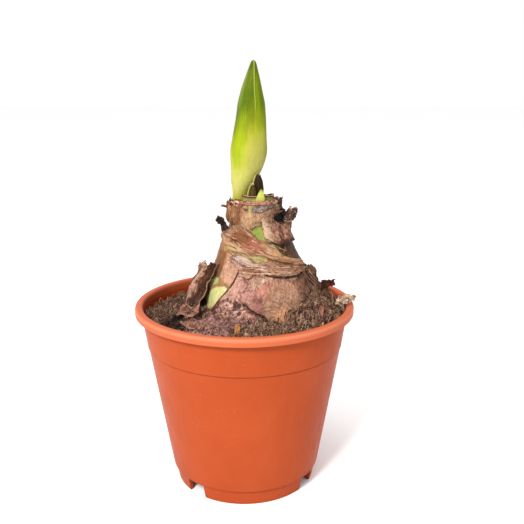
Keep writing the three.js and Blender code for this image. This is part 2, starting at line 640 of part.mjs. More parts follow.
const lowerFrontPoint = scaleOverBulb(lowerFront);
const tornRightPoint = scaleOverBulb(tornRight);

const soilTools = [
  bulbGeometry(GAP),
  sheet(lowerFrontPoint, 26, 10, SCALE_THICKNESS, GAP),
  sheet(peelingPoint, 12, 12, SCALE_THICKNESS, GAP),
  sheet(tornRightPoint, 8, 8, SCALE_THICKNESS, GAP),
  sheet(tornFlapPoint, 8, 6, SCALE_THICKNESS, GAP),
  sheet(fallenLeftPoint, 9, 7, SCALE_THICKNESS, GAP),
  sheet(fallenFrontPoint, 9, 7, SCALE_THICKNESS, GAP),
  sheet(driedTailPoint, 5, 2, SCALE_THICKNESS, GAP),
  chip(ORANGE_CHIP, GAP),
  chip(RED_CHIP, GAP),
];

add('pot', potGeometry(), 0xd8613a, 0.5);
add('soil', soilGeometry(soilTools), 0x5a4638, 1);
add('bulb', bulbGeometry(), 0xb07c4e, 0.7);
add('scale_lower_front', sheet(lowerFrontPoint, 26, 10), 0xb07a66, 0.75);
add('scale_middle', sheet(scaleOverBulb(middle), 24, 4), 0xc8a08c, 0.8);
add('scale_wrap', sheet(scaleOverBulb(wrap), 28, 5), 0xb4714f, 0.6);
add('neck_ring', neckRingGeometry(), 0xb88a68, 0.75);
const neckLeftBody = sheet(scaleOverBulb(neckLeft), 12, 5);
add('neck_scale_left', join(neckLeftBody, [sheet(smallHornPoint, 4, 2)]), 0xa06c48, 0.75);
add('inner_collar', sheet(innerCollarPoint, 30, 4, COLLAR_WALL), 0x7d8a45, 0.6);
const curledFlapBody = sheet(curledFlapPoint, 16, 10, 0.9);
add('curled_flap_right', join(curledFlapBody, [sheet(hornPoint, 12, 4)]), 0xb5765a, 0.75);
add('black_flap_left', sheet(blackFlapPoint, 6, 4), 0x2c221e, 0.8);
add('peeling_scale_left', sheet(peelingPoint, 12, 12), 0x6e4a3c, 0.75);
add('torn_scale_right', sheet(tornRightPoint, 8, 8), 0x5a3c34, 0.8);
add('torn_flap_right', sheet(tornFlapPoint, 8, 6), 0x4a2a2e, 0.75);
add('dried_flap', join(sheet(driedFlapPoint, 9, 7), [sheet(driedTailPoint, 5, 2)]), 0xd8bd9a, 0.8);
add('fallen_scale_left', sheet(fallenLeftPoint, 9, 7), 0x8a6252, 0.85);
add('fallen_scale_front', sheet(fallenFrontPoint, 9, 7), 0x7c5650, 0.85);
add('flower_bud', budGeometry(), 0x9db52a, 0.4);
const tallLeafPoint = leafPoint(7.4, 1.4, 7.6, -2.2, 166.7, 187.2, 8.6, -0.9);
const shortLeafPoint = leafPoint(4.2, -3.1, 4.6, -3.3, 166.7, 182.4, 5.4, -0.6);
add('young_leaf_tall', sheet(tallLeafPoint, 6, 8, 1.1), 0x4a3c22, 0.4);
add('young_leaf_short', sheet(shortLeafPoint, 5, 7, 1), 0x53442a, 0.4);
add('shoot_tip', shootGeometry(), 0xc4d04e, 0.4);
add('bark_chip_orange', chip(ORANGE_CHIP), 0xc0834c, 0.85);
add('bark_chip_red', chip(RED_CHIP), 0xb07a62, 0.85);

export default plant;
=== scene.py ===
# A sprouting amaryllis bulb in a plastic pot: the visible pieces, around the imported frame.
# Shapes are worked out in millimetres, with the same values as the solids, and written to the meshes
# in metres. +Z is up, the front of the object looks towards -Y, the origin is on the pot's axis at the
# ground. Azimuth 0 is the front and +90 degrees the viewer's right.

import contextlib
import functools
import math

import bpy
import numpy as np
from mathutils import Euler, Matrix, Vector


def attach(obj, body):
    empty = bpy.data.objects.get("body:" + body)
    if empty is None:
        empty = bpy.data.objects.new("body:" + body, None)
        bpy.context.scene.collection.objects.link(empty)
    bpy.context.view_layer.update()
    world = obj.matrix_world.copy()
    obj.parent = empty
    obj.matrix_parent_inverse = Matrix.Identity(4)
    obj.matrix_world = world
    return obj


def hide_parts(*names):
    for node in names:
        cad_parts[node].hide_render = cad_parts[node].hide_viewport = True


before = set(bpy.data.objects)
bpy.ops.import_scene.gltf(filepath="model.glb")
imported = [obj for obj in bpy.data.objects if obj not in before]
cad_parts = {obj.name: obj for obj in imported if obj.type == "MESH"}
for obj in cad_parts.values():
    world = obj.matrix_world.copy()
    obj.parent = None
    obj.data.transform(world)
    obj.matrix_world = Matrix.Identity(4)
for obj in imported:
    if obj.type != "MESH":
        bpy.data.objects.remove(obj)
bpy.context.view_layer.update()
MM = 0.001

# Driving dimensions of the pot, in millimetres.
RIM_RADIUS = 65.0
POT_HEIGHT = 110.5
POT_SIDES = 180
RIM_BAND = 4.8
RIM_HOLLOW = 2.6
WALL = 1.2
WALL_TOP_RADIUS = 61.2
LEDGE_RADIUS = 45.0
LEDGE_HEIGHT = 9.5
FOOT_TOP_RADIUS = 43.7
FOOT_BOTTOM_RADIUS = 42.2
FOOT_THICKNESS = 2.2
STACK_LINE_HEIGHT = 86.3
STACK_LINE_STEP = 0.4
NOTCH_ANGLE = 16.5
NOTCH_AZIMUTHS = (-41.5, 59.5, 138.5, -120.5)

# The boxes that cut the notches and the drain slots into the foot: how deep and tall they are, how far
# inside the foot's top edge their middle lies, and how high.
NOTCH_BOX = (10, LEDGE_HEIGHT + 2, 1, LEDGE_HEIGHT / 2 - 1)
DRAIN_BOX = (4.5, 6, 6.4, LEDGE_HEIGHT + 0.6)

# Driving dimensions of the bulb and its neck, in millimetres.
BULB_BASE = 57.0
NECK_TOP = 166.0
NECK_DISH = 0.8
SCALE_THICKNESS = 0.8
SKIN_THICKNESS = 0.4
RING_TOP = 172.8
COLLAR_RADIUS = 9.8
COLLAR_TOP = 174.8
COLLAR_WALL = 1.1
BUD_TOP = 249.6


# Curves and noise

def lerp(first, second, share):
    return first + (second - first) * share


def smooth(value, low, high):
    """0 below low, 1 above high and a smooth slope between."""
    share = np.clip((value - low) / (high - low), 0, 1)
    return share * share * (3 - 2 * share)


def fall(value, low, high):
    """1 below low, 0 above high and a smooth slope between."""
    return 1 - smooth(value, low, high)


def hill(distance, spread):
    """1 at its centre and falling to nothing a few spreads away."""
    return np.exp(-0.5 * (distance / spread) ** 2)


def curve(stations):
    """A smooth function through stations (x, y) that doesn't overshoot between them."""
    places = np.array([station[0] for station in stations], float)
    values = np.array([station[1] for station in stations], float)
    rises = np.diff(values) / np.diff(places)
    before, after = rises[:-1], rises[1:]
    same_way = before * after > 0
    total = np.where(same_way, before + after, 1)
    inner = np.where(same_way, 2 * before * after / total, 0)
    tangents = np.concatenate((rises[:1], inner, rises[-1:]))

    def value(x):
        place = np.clip(x, places[0], places[-1])
        i = np.clip(np.searchsorted(places, place, side="right") - 1, 0, len(places) - 2)
        width = places[i + 1] - places[i]
        t = (place - places[i]) / width
        start = (2 * t - 3) * t * t + 1
        bend = t * (1 - t) * width * ((1 - t) * tangents[i] - t * tangents[i + 1])
        return start * values[i] + (1 - start) * values[i + 1] + bend

    return value


def lumps(x, y, z, spacing, seed):
    """Smooth lumps between about -1 and 1, with the given spacing in millimetres."""
    k = 2 * math.pi / spacing
    a = np.sin(k * (0.93 * x + 0.37 * y) + seed) * np.sin(k * (0.41 * z - 0.79 * x) + 1.7 * seed)
    b = np.sin(k * (0.88 * y + 0.52 * z) + 2.3 * seed)
    c = np.sin(k * (0.71 * x - 0.31 * y + 0.6 * z) + 0.9 * seed)
    return 0.6 * a + 0.55 * b * c


def corner_value(cells, seed):
    """A fixed random value from -1 to 1 for each whole-numbered lattice corner."""
    x, y, z = (cells[..., axis].astype(np.uint32) for axis in range(3))
    bits = x * np.uint32(73856093) ^ y * np.uint32(19349663) ^ z * np.uint32(83492791)
    bits = bits ^ np.uint32(seed * 2654435 + 97)
    bits = (bits ^ (bits >> np.uint32(15))) * np.uint32(2246822519)
    bits = (bits ^ (bits >> np.uint32(13))) * np.uint32(3266489917)
    return ((bits >> np.uint32(8)) & np.uint32(0xFFFF)) / 32767.5 - 1.0


def cloud(points, spacing, seed=0):
    """Soft noise from -1 to 1 whose lumps are about one spacing across."""
    scaled = np.asarray(points, float) / spacing + 4096.0
    cell = np.floor(scaled).astype(np.int64)
    share = scaled - cell
    share = share * share * (3 - 2 * share)
    total = 0.0
    for corner in np.ndindex(2, 2, 2):
        weight = np.prod(np.where(corner, share, 1 - share), axis=-1)
        total = total + weight * corner_value(cell + np.array(corner), seed)
    return total


def rough(points, spacing, octaves=3, seed=0, keep=0.55):
    """Noise from about -1 to 1 with finer and finer lumps on top of each other."""
    total = 0.0
    strength = 1.0
    reach = 0.0
    for octave in range(octaves):
        total = total + strength * cloud(points, spacing / 2 ** octave, seed + 17 * octave)
        reach += strength
        strength *= keep
    return 1.4 * total / reach


def cloud_at(x, y, z, seed):
    """Soft noise at three numbers that are already measured in its spacings."""
    return cloud(stacked(x, y, z), 1.0, seed)


def veined(x, y, z, seed):
    """Narrow ridges at 1 with broad hollows between them, down to -1."""
    return 1 - 2 * np.abs(cloud_at(x, y, z, seed))


def creased(value, width):
    """1 on the sharp creases where a noise passes through nothing, and 0 beside them."""
    return fall(np.abs(value), 0, width)


def stacked(*values):
    return np.stack(np.broadcast_arrays(*values), axis=-1).astype(float)


def around(axis_x, axis_y, azimuth, radius, height):
    """Points at an azimuth and distance from an upright axis."""
    angle = np.radians(azimuth)
    return stacked(axis_x + radius * np.sin(angle), axis_y - radius * np.cos(angle), height)


def lumps_round(azimuth, radius, height, spacing, seed):
    """Smooth lumps on an upright cylinder of a given radius."""
    return lumps(*np.moveaxis(around(0, 0, azimuth, radius, height), -1, 0), spacing, seed)


def inside_distance(x, y, outline):
    """How far points lie inside a closed outline, and less than 0 outside it."""
    corners = np.array(outline, float)
    nearest = np.full(np.shape(x), 1e9)
    inside = np.zeros(np.shape(x), bool)
    for (x0, y0), (x1, y1) in zip(corners, np.roll(corners, -1, axis=0)):
        along_x, along_y = x1 - x0, y1 - y0
        length = along_x ** 2 + along_y ** 2
        share = np.clip(((x - x0) * along_x + (y - y0) * along_y) / length, 0, 1)
        nearest = np.minimum(nearest, np.hypot(x - x0 - share * along_x, y - y0 - share * along_y))
        crosses = (y0 > y) != (y1 > y)
        rise = along_y if along_y else 1e-9
        inside ^= crosses & (x < x0 + (y - y0) * along_x / rise)
    return np.where(inside, nearest, -nearest)


# Making meshes

def select_only(piece):
    bpy.ops.object.select_all(action="DESELECT")
    piece.select_set(True)
    bpy.context.view_layer.objects.active = piece


def corners_of(piece):
    places = np.empty(len(piece.data.vertices) * 3)
    piece.data.vertices.foreach_get("co", places)
    return places.reshape(-1, 3)


def place_corners(piece, places):
    """Moves a piece's vertices to places given in millimetres."""
    piece.data.vertices.foreach_set("co", (places * MM).ravel())
    piece.data.update()


def keep_values(piece, name, values):
    """Keeps a number or a vector for each vertex, under a name that the materials read."""
    is_vector = values.ndim == 2
    kept = piece.data.attributes.new(name, "FLOAT_VECTOR" if is_vector else "FLOAT", "POINT")
    kept.data.foreach_set("vector" if is_vector else "value", values.astype(np.float32).ravel())


def apply_modifier(piece, kind, **settings):
    select_only(piece)
    modifier = piece.modifiers.new(kind.title(), kind)
    for name, value in settings.items():
        setattr(modifier, name, value)
    bpy.ops.object.modifier_apply(modifier=modifier.name)


@contextlib.contextmanager
def editing(piece, selection="SELECT"):
    """Opens a piece in edit mode with all or none of its mesh selected."""
    select_only(piece)
    bpy.ops.object.mode_set(mode="EDIT")
    bpy.ops.mesh.select_all(action=selection)
    yield
    bpy.ops.object.mode_set(mode="OBJECT")


def weld(piece, distance=0.002):
    """Merges vertices that lie on each other and turns all faces outwards."""
    with editing(piece):
        bpy.ops.mesh.remove_doubles(threshold=distance * MM)
        bpy.ops.mesh.normals_make_consistent(inside=False)


def finish_piece(piece, look, slot, replaced=(), angle=50):
    """Smooths a piece, gives it its finish and lets it ride on the object's one body."""
    select_only(piece)
    bpy.ops.object.shade_smooth_by_angle(angle=math.radians(angle))
    piece.data.materials.clear()
    piece.data.materials.append(look.material)
    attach(piece, "root")
    if replaced:
        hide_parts(*replaced)


def added(add, **settings):
    """Adds a simple form to the scene and returns it."""
    bpy.ops.object.select_all(action="DESELECT")
    add(**settings)
    return bpy.context.object


def new_grid(name, cells):
    """A flat grid; returns it with the shares u and v, from 0 to 1, of its vertices."""
    piece = added(bpy.ops.mesh.primitive_grid_add, x_subdivisions=cells[0], y_subdivisions=cells[1], size=1)
    piece.name = piece.data.name = name
    corners = corners_of(piece)
    return piece, corners[:, 0] + 0.5, corners[:, 1] + 0.5


def slopes(point, u, v):
    """How fast point(u, v) moves along u and along v, in millimetres."""
    step = 1e-3
    along_u = (point(u + step, v) - point(u - step, v)) / (2 * step)
    along_v = (point(u, v + step) - point(u, v - step)) / (2 * step)
    return along_u, along_v


def unit(vectors):
    return vectors / np.linalg.norm(vectors, axis=-1, keepdims=True).clip(1e-9)


def torn(distance_along, seed):
    """How far a torn edge is set back, as a share from 0 to 1, along its length."""
    coarse = cloud(stacked(distance_along, 0.3, seed), 3.4, seed)
    fine = cloud(stacked(distance_along, 7.7, seed), 1.2, seed + 5)
    return np.clip(0.5 + 0.45 * coarse + 0.18 * fine, 0, 1)


def outline_distance(name, azimuth, height):
    """How far places on the bulb lie inside one of the outlines, in millimetres."""
    outline = OUTLINES[name]
    per_degree = math.radians(1) * bulb_radius(np.mean([corner[1] for corner in outline]))
    scaled = [(corner[0] * per_degree, corner[1]) for corner in outline]
    return inside_distance(azimuth * per_degree, height, scaled)


def over_outline(azimuth, height, name, soft=0.6):
    """1 inside one of the outlines on the bulb and 0 outside it."""
    return smooth(outline_distance(name, azimuth, height), -soft, soft)


def lay_skin(piece, look, places, normal, u, v, relief, swell, where, more):
    """Lifts a skin by its soft forms and its small relief, and keeps what its look reads."""
    if swell:
        places = places + normal * swell(u, v)[:, None]
    raised = relief(places, u, v)
    place_corners(piece, places + normal * raised[:, None])
    keep_values(piece, "raised", raised)
    for name in look.marks:
        keep_values(piece, "mark_" + name, outline_distance(name, *where(u, v)))
    for name, values in (more(u, v) if more else {}).items():
        keep_values(piece, name, values)


def sheet_piece(name, finish, point, cells, fray, relief, swell=None, where=None, more=None,
                fibres_along="v", thickness=SKIN_THICKNESS, outer=SCALE_THICKNESS, seed=1):
    """A thin skin over point(u, v), its outer face where the solid's outer face lies.

    finish is its look, its slot, which is not used, the solids that it replaces and, at need, the angle
    above which its edges stay sharp. fray says how many millimetres the left, right, lower and upper
    edge are torn back at most. swell(u, v) moves the skin outwards in soft forms, and relief(places, u, v)
    gives the small relief of its outer face, in millimetres.
    where(u, v) gives azimuths and heights for the outlines, and more(u, v) gives more values to keep."""
    piece, u, v = new_grid(name, cells)
    along_u, along_v = slopes(point, u, v)
    reach_u, reach_v = np.linalg.norm(along_u, axis=1), np.linalg.norm(along_v, axis=1)
    border = np.minimum.reduce((u * reach_u, (1 - u) * reach_u, v * reach_v, (1 - v) * reach_v))
    width, length = reach_u.mean(), reach_v.mean()
    across_here, along_here = reach_u.clip(0.4 * width), reach_v.clip(0.4 * length)
    left = fray[0] * torn(v * length, seed) / across_here
    right = 1 - fray[1] * torn(v * length, seed + 1) / across_here
    low = fray[2] * torn(u * width, seed + 2) / along_here
    high = 1 - fray[3] * torn(u * width, seed + 3) / along_here
    u, v = lerp(left, right, u), lerp(low, high, v)
    along_u, along_v = slopes(point, u, v)
    normal = unit(np.cross(along_u, along_v))
    lay_skin(piece, finish[0], point(u, v) + normal * outer, normal, u, v, relief, swell, where, more)
    across, along = (u * width, v * length) if fibres_along == "v" else (v * length, u * width)
    keep_values(piece, "fibre", stacked(across, seed * 9.0, along))
    keep_values(piece, "border", border)
    apply_modifier(piece, "SOLIDIFY", thickness=thickness * MM, offset=-1)
    finish_piece(piece, *finish)


def tube_piece(name, finish, point, cells, relief, swell=None, where=None, more=None, fibre_radius=12.0):
    """A closed body over point(u, v) that goes once round in u and closes at both ends of v."""
    piece, u, v = new_grid(name, cells)
    along_u, along_v = slopes(point, np.clip(u, 0, 1), np.clip(v, 0.002, 0.998))
    normal = unit(np.cross(along_u, along_v))
    lay_skin(piece, finish[0], point(u, v), normal, u, v, relief, swell, where, more)
    turn = np.radians(360 * u - 180)
    length = np.linalg.norm(along_v, axis=1).mean()
    x, y = fibre_radius * np.sin(turn), fibre_radius * np.cos(turn)
    keep_values(piece, "fibre", stacked(x, y, v * length))
    weld(piece)
    finish_piece(piece, *finish)


def mesh_piece(name, places, edges=(), faces=()):
    """A piece made from places in millimetres and the edges or faces between them."""
    mesh = bpy.data.meshes.new(name)
    mesh.from_pydata((places * MM).tolist(), edges, faces)
    mesh.update()
    piece = bpy.data.objects.new(name, mesh)
    bpy.context.scene.collection.objects.link(piece)
    return piece


# The bulb's shape

bulb_radius = curve([
    (57, 9), (62, 17), (68, 25), (76, 31.5), (86, 35.2), (96, 36.4), (106, 36), (114, 34.4), (120, 32.2),
    (126, 29), (132, 25.6), (138, 22.8), (146, 20), (154, 16.6), (160, 14.2), (166, 13), (172, 12.9)])
bulb_axis_x = curve([(60, 9.5), (110, 10), (126, 9.4), (140, 8.2), (150, 7.2), (160, 6.4), (172, 6.2)])
bulb_axis_y = curve([(60, 4), (110, 4), (140, 2), (172, 1)])


def bulb_relief(azimuth, height):
    """Fuller flanks, the dome of the lower front, the hollow beside it, and unevenness."""
    side = np.sin(np.radians(azimuth)) ** 2
    flanks = 1.4 * side * smooth(height, 126, 134) * fall(height, 148, 156)
    dome = 1.5 * hill(azimuth - 20, 20) * hill(height - 119, 8)
    hollow = 1.1 * hill(azimuth + 10, 9) * hill(height - 118, 9)
    uneven = 0.45 * lumps_round(azimuth, 30, height, 31, 2.1) * smooth(height, 60, 80)
    return flanks + dome - hollow + uneven * fall(height, 156, 164)


def skin(azimuth, height, lift=0.0):
    """The bulb's surface at an azimuth and height, moved outwards by a lift."""
    radius = bulb_radius(height) + bulb_relief(azimuth, height)
    slope = bulb_radius(height + 0.5) - bulb_radius(height - 0.5)
    outward = 1 / np.hypot(1, slope)
    return around(bulb_axis_x(height), bulb_axis_y(height), azimuth,
                  radius + lift * outward, height - lift * slope * outward)


def over_bulb(left, right, bottom, top, lift):
    """A scale's field on the bulb: point(u, v) in space and where(u, v) in azimuth and height."""
    def where(u, v):
        azimuth = lerp(left(v), right(v), u)
        return azimuth, lerp(bottom(azimuth), top(azimuth), v)

    def point(u, v):
        azimuth, height = where(u, v)
        return skin(azimuth, height, lift(u, v, azimuth, height))

    return point, where


# Where the bulb's colours lie, as outlines of azimuth in degrees and height in millimetres.
OUTLINES = {
    "green_left": [
        (-71, 114), (-66, 118.5), (-63.5, 121.4), (-56, 123.5), (-43.5, 125), (-37.4, 123.8),
        (-36.6, 122), (-42, 118.6), (-49.4, 112.8), (-56, 106.7), (-61, 105), (-63, 110)],
    "green_upper_left": [
        (-71, 121.6), (-77, 125.7), (-70, 127.7), (-59, 128), (-57, 125.6), (-65, 123.4)],
    "green_triangle": [
        (-10, 155.4), (-3, 157.2), (6, 159), (14, 158.2), (14.8, 153.8), (16.6, 150.6), (10, 150.6),
        (4, 152), (-4, 154.4)],
    "green_strip": [
        (-58, 147.4), (-46, 146.6), (-35, 146.1), (-24, 144.9), (-12, 143.8), (3, 143.4), (13, 142.4),
        (14, 140.2), (8, 139.4), (-3, 139.6), (-12, 141.6), (-22, 143), (-36, 144.8), (-52, 145.4)],
    "green_sliver": [
        (24, 148.2), (29, 146.6), (34, 143.8), (38, 141.6), (41, 140.4), (38, 143.6), (33, 146.8),
        (27, 149.4)],
    "flank_orange": [(-90, 126), (-84, 134), (-76, 143), (-52, 144), (-56, 136), (-58, 128.5)],
    "pink_flank": [
        (-58, 129), (-54, 136), (-50, 142), (-38, 142), (-32, 137), (-28, 132), (-36, 126), (-48, 127.5)],
    "flap_shadow": [
        (26, 149.4), (30, 147.6), (36, 146.2), (50, 146.6), (64, 147), (84, 148), (84, 151), (30, 151)],
    "neck_base": [
        (-100, 153), (-60, 154), (-32, 155), (-8, 154), (2, 152.6), (8, 158), (-8, 161), (-100, 161)],
    "flank_dark": [
        (33, 146), (38, 152), (60, 152), (95, 150), (100, 138), (88, 131), (70, 133), (50, 138),
        (40, 142)],
    "dome": [
        (-3, 108), (1, 116), (6, 122), (14, 127.5), (24, 129), (34, 126.5), (42, 121), (49, 115),
        (50, 106), (30, 100), (8, 102)],
    "dome_rim": [
        (-14, 108), (-10, 118), (-2, 126), (12, 131), (30, 131.6), (46, 128), (58, 118), (58, 106),
        (30, 99), (0, 101)],
    "dome_foot": [(10, 112), (16, 115), (28, 114), (34, 108), (26, 103), (10, 104)],
    "dome_shade": [(-6, 109), (-5, 117), (0, 122), (4, 120), (2, 114), (3, 108)],
    "dome_collar": [
        (-12, 126), (-4, 131.8), (10, 133), (26, 133), (40, 132), (50, 130.6), (46, 128.4), (34, 129),
        (20, 131), (6, 129), (-2, 126)],
    "plum_flank": [
        (38, 127.6), (54, 133), (72, 131), (90, 122), (92, 112), (70, 106), (46, 104), (43, 110),
        (42, 118), (38, 123)],
    "mauve": [
        (-24, 112), (-26, 122), (-22, 129), (-12, 129), (-2, 125), (3, 119), (3, 110), (-8, 108),
        (-20, 108)],
    "rough_left": [
        (-66, 98), (-52, 109), (-40, 118), (-30, 120), (-22, 118.6), (-16, 116.6), (-8, 112.6), (0, 111),
        (7, 107), (10, 100), (-20, 97)],
    "pink_upper": [(-44, 118), (-36, 124), (-31, 132), (-27, 136), (-20, 132), (-20, 124), (-28, 119)],
    "wrap_dark": [(-46, 150), (-42, 155), (-24, 155.6), (-8, 152.6), (-10, 148.4), (-26, 147.6)],
    "wrap_red": [
        (-22, 148.4), (-8, 151), (4, 150.6), (12, 147.6), (10, 144.6), (-6, 144.8), (-18, 145.6)],
    "wrap_tan": [
        (8, 149.6), (24, 147.4), (40, 142.6), (66, 138.6), (66, 136), (40, 139.4), (24, 141.6),
        (14, 144)],
    "wrap_amber": [
        (20, 147), (34, 143), (48, 141), (72, 138), (72, 134), (50, 136.4), (34, 138.6), (20, 141.4)],
    "scar": [
        (-4.6, 167), (-3, 170), (10, 170.5), (30, 170.8), (48, 171), (52, 170), (42, 169), (30, 168.5),
        (18, 167.2), (9.7, 166.8)],
    "scar_shadow": [
        (-6, 167), (9.7, 166.8), (18, 167.2), (30, 168.5), (42, 169), (54, 170.2), (42, 168.2),
        (30, 167.5), (18, 166.4), (8, 166)],
    "ring_dark": [(-26, 169.2), (-15, 168.9), (-14, 167.2), (-25, 167.6)],
    "ring_left": [(-80, 173), (-40, 173), (-26, 172), (-30, 164), (-36, 157), (-80, 157)],
    "ring_green": [(-14.5, 169.8), (-3, 170.2), (-4, 166.9), (-13, 167)],
    "ring_crinkle": [(58, 174), (80, 174), (86, 165), (70, 163.4), (60, 165)],
    "flap_pale": [(10, 150), (10, 162), (18, 162), (23, 158), (24, 152), (22, 149)],
    "flap_under": [(28, 146), (30, 149), (40, 150), (52, 150), (66, 149.6), (84, 149), (84, 145)],
    "flap_hollow": [
        (38, 162), (44, 164.4), (58, 164.8), (74, 164), (80, 161.4), (72, 159.4), (56, 158.8), (44, 160)],
    "flap_black": [
        (34, 161), (40, 165.6), (58, 166.4), (80, 166), (92, 167), (92, 160), (76, 158), (56, 157.4),
        (40, 158.8)],
    "torn_green": [(72, 123.6), (76, 125.6), (82, 124), (82, 120), (77, 118), (72, 120)],
    "torn_red": [(74, 121), (92, 124), (104, 122), (104, 117), (84, 115), (74, 116)],
    "middle_white": [
        (-32, 143), (-24, 142.6), (-6, 139.6), (6, 138.2), (12, 135), (6, 134), (-6, 136.6), (-20, 138),
        (-31, 140.4)],
    "middle_lilac": [(-38, 143), (-32, 143), (-12, 133.6), (-22, 131), (-34, 136)],
    "middle_pit": [(26, 137), (30, 136.8), (31, 134.6), (27, 134.4)],
    "middle_amber": [(42, 138), (52, 138), (60, 135), (56, 132.4), (46, 131.4), (42, 133.6)],
}


# Building materials

# The lamps and the white room together light a surface this much more than a plain white sky.
LIGHTING = 1.62


def colour(red, green, blue):
    """The surface colour that shows these display values, where 255 is full, under the lamps."""
    values = [channel / 255 for channel in (red, green, blue)]
    linear = [c / 12.92 if c <= 0.04045 else ((c + 0.055) / 1.055) ** 2.4 for c in values]
    return tuple(c / LIGHTING for c in linear) + (1.0,)


def add_node(tree, kind, inputs=None, **settings):
    """Adds a node. Each input is a value, or another node's socket that is linked to it."""
    node = tree.nodes.new(kind)
    for name, value in settings.items():
        setattr(node, name, value)
    for socket, value in (inputs or {}).items():
        if isinstance(value, bpy.types.NodeSocket):
            tree.links.new(value, node.inputs[socket])
        else:
            node.inputs[socket].default_value = value
    return node


def join(kind, inputs, **settings):
    """Adds a node to the tree that its inputs come from, and returns its outputs."""
    tree = next(value.id_data for value in inputs.values() if isinstance(value, bpy.types.NodeSocket))
    return add_node(tree, kind, inputs, **settings).outputs


def maths(operation, first, second=0.0):
    return join("ShaderNodeMath", {0: first, 1: second}, operation=operation)[0]


def times(*values):
    return functools.reduce(functools.partial(maths, "MULTIPLY"), values)


def plus(first, second):
    return maths("ADD", first, second)


def minus(first, second):
    return maths("SUBTRACT", first, second)


def ranged(value, low, high, to_low=0.0, to_high=1.0):
    """A smooth step from to_low to to_high while a value goes from low to high."""
    inputs = {"Value": value, "From Min": low, "From Max": high, "To Min": to_low, "To Max": to_high}
    return join("ShaderNodeMapRange", inputs, interpolation_type="SMOOTHSTEP")[0]


def falling(value, low, high):
    """1 below low, 0 above high and a smooth step between."""
    return ranged(value, low, high, 1.0, 0.0)


def mixed(factor, first, second, blend="MIX"):
    """Two paints mixed. Three numbers are display values, as for colour; four are a plain colour."""
    inputs = {0: factor}
    for socket, paint in ((6, first), (7, second)):
        is_shown = isinstance(paint, tuple) and len(paint) == 3
        inputs[socket] = colour(*paint) if is_shown else paint
    return join("ShaderNodeMix", inputs, data_type="RGBA", blend_type=blend)[2]


def part(vector, axis):
    return join("ShaderNodeSeparateXYZ", {0: vector})[axis]


def moved(vector, x, y, z):
    return join("ShaderNodeVectorMath", {0: vector, 1: (x, y, z)})[0]


def stretched(vector, across, along):
    """A vector multiplied by one number in x and y and by another in z."""
    tree = vector.id_data
    factors = add_node(tree, "ShaderNodeCombineXYZ", {0: across, 1: across, 2: along}).outputs[0]
    return join("ShaderNodeVectorMath", {0: vector, 1: factors}, operation="MULTIPLY")[0]


def noise(vector, scale=1.0, detail=3.0, roughness=0.55, distortion=0.0):
    inputs = {"Vector": vector, "Scale": scale, "Detail": detail, "Roughness": roughness,
              "Distortion": distortion}
    return join("ShaderNodeTexNoise", inputs)["Fac"]


def drift(vector, reach, *settings):
    """Noise that goes as far below nothing as above it."""
    return times(minus(noise(vector, *settings), 0.5), reach)


def new_group(name, inputs, outputs):
    """An empty shader group; returns its tree and the sockets inside its two ends."""
    tree = bpy.data.node_groups.new(name, "ShaderNodeTree")
    for label, kind, value in inputs:
        socket = tree.interface.new_socket(label, in_out="INPUT", socket_type="NodeSocket" + kind)
        if value is not None:
            socket.default_value = value
    for label, kind in outputs:
        tree.interface.new_socket(label, in_out="OUTPUT", socket_type="NodeSocket" + kind)
    start = tree.nodes.new("NodeGroupInput").outputs
    end = tree.nodes.new("NodeGroupOutput").inputs
    return tree, start, end


def use_group(group, inputs):
    return join("ShaderNodeGroup", inputs, node_tree=group)


def fibre_streaks_group():
    """Fine streaks along the fibres: Streak is broad and soft, Thread thin and sharp."""
    tree, start, end = new_group(
        "fibre_streaks",
        [("Fibre", "Vector", None), ("Density", "Float", 1.0), ("Stretch", "Float", 0.06),
         ("Wander", "Float", 0.5)],
        [("Streak", "Float"), ("Thread", "Float")])
    sway = drift(start["Fibre"], start["Wander"], 0.16, 2.0)
    shift = join("ShaderNodeCombineXYZ", {0: sway, 1: sway, 2: 0.0})[0]
    bent = join("ShaderNodeVectorMath", {0: start["Fibre"], 1: shift})[0]
    broad = stretched(bent, start["Density"], times(start["Density"], start["Stretch"]))
    tree.links.new(ranged(noise(broad, 1.0, 4.0, 0.62), 0.32, 0.68), end["Streak"])
    crest = maths("ABSOLUTE", minus(noise(broad, 2.7, 3.0, 0.7), 0.5))
    tree.links.new(falling(crest, 0.0, 0.042), end["Thread"])
    return tree


def blotches_group():
    """Uneven patches of a given size."""
    tree, start, end = new_group(
        "blotches", [("Position", "Vector", None), ("Size", "Float", 6.0), ("Contrast", "Float", 0.5)],
        [("Factor", "Float")])
    value = noise(start["Position"], maths("DIVIDE", 1.0, start["Size"]), 5.0, 0.6, 0.4)
    spread = times(minus(1.0, start["Contrast"]), 0.3)
    tree.links.new(ranged(value, minus(0.49, spread), plus(0.51, spread)), end["Factor"])
    return tree


def specks_group():
    """Scattered small specks: Amount goes from 0, none, to 1, many."""
    tree, start, end = new_group(
        "specks", [("Position", "Vector", None), ("Size", "Float", 0.8), ("Amount", "Float", 0.3)],
        [("Mask", "Float")])
    scale = maths("DIVIDE", 1.0, start["Size"])
    broad = noise(start["Position"], times(scale, 0.13), 2.0)
    value = plus(noise(start["Position"], scale, 2.0, 0.5), times(minus(broad, 0.5), 0.35))
    low = minus(0.78, times(start["Amount"], 0.3))
    tree.links.new(ranged(value, low, plus(low, 0.05)), end["Mask"])
    return tree


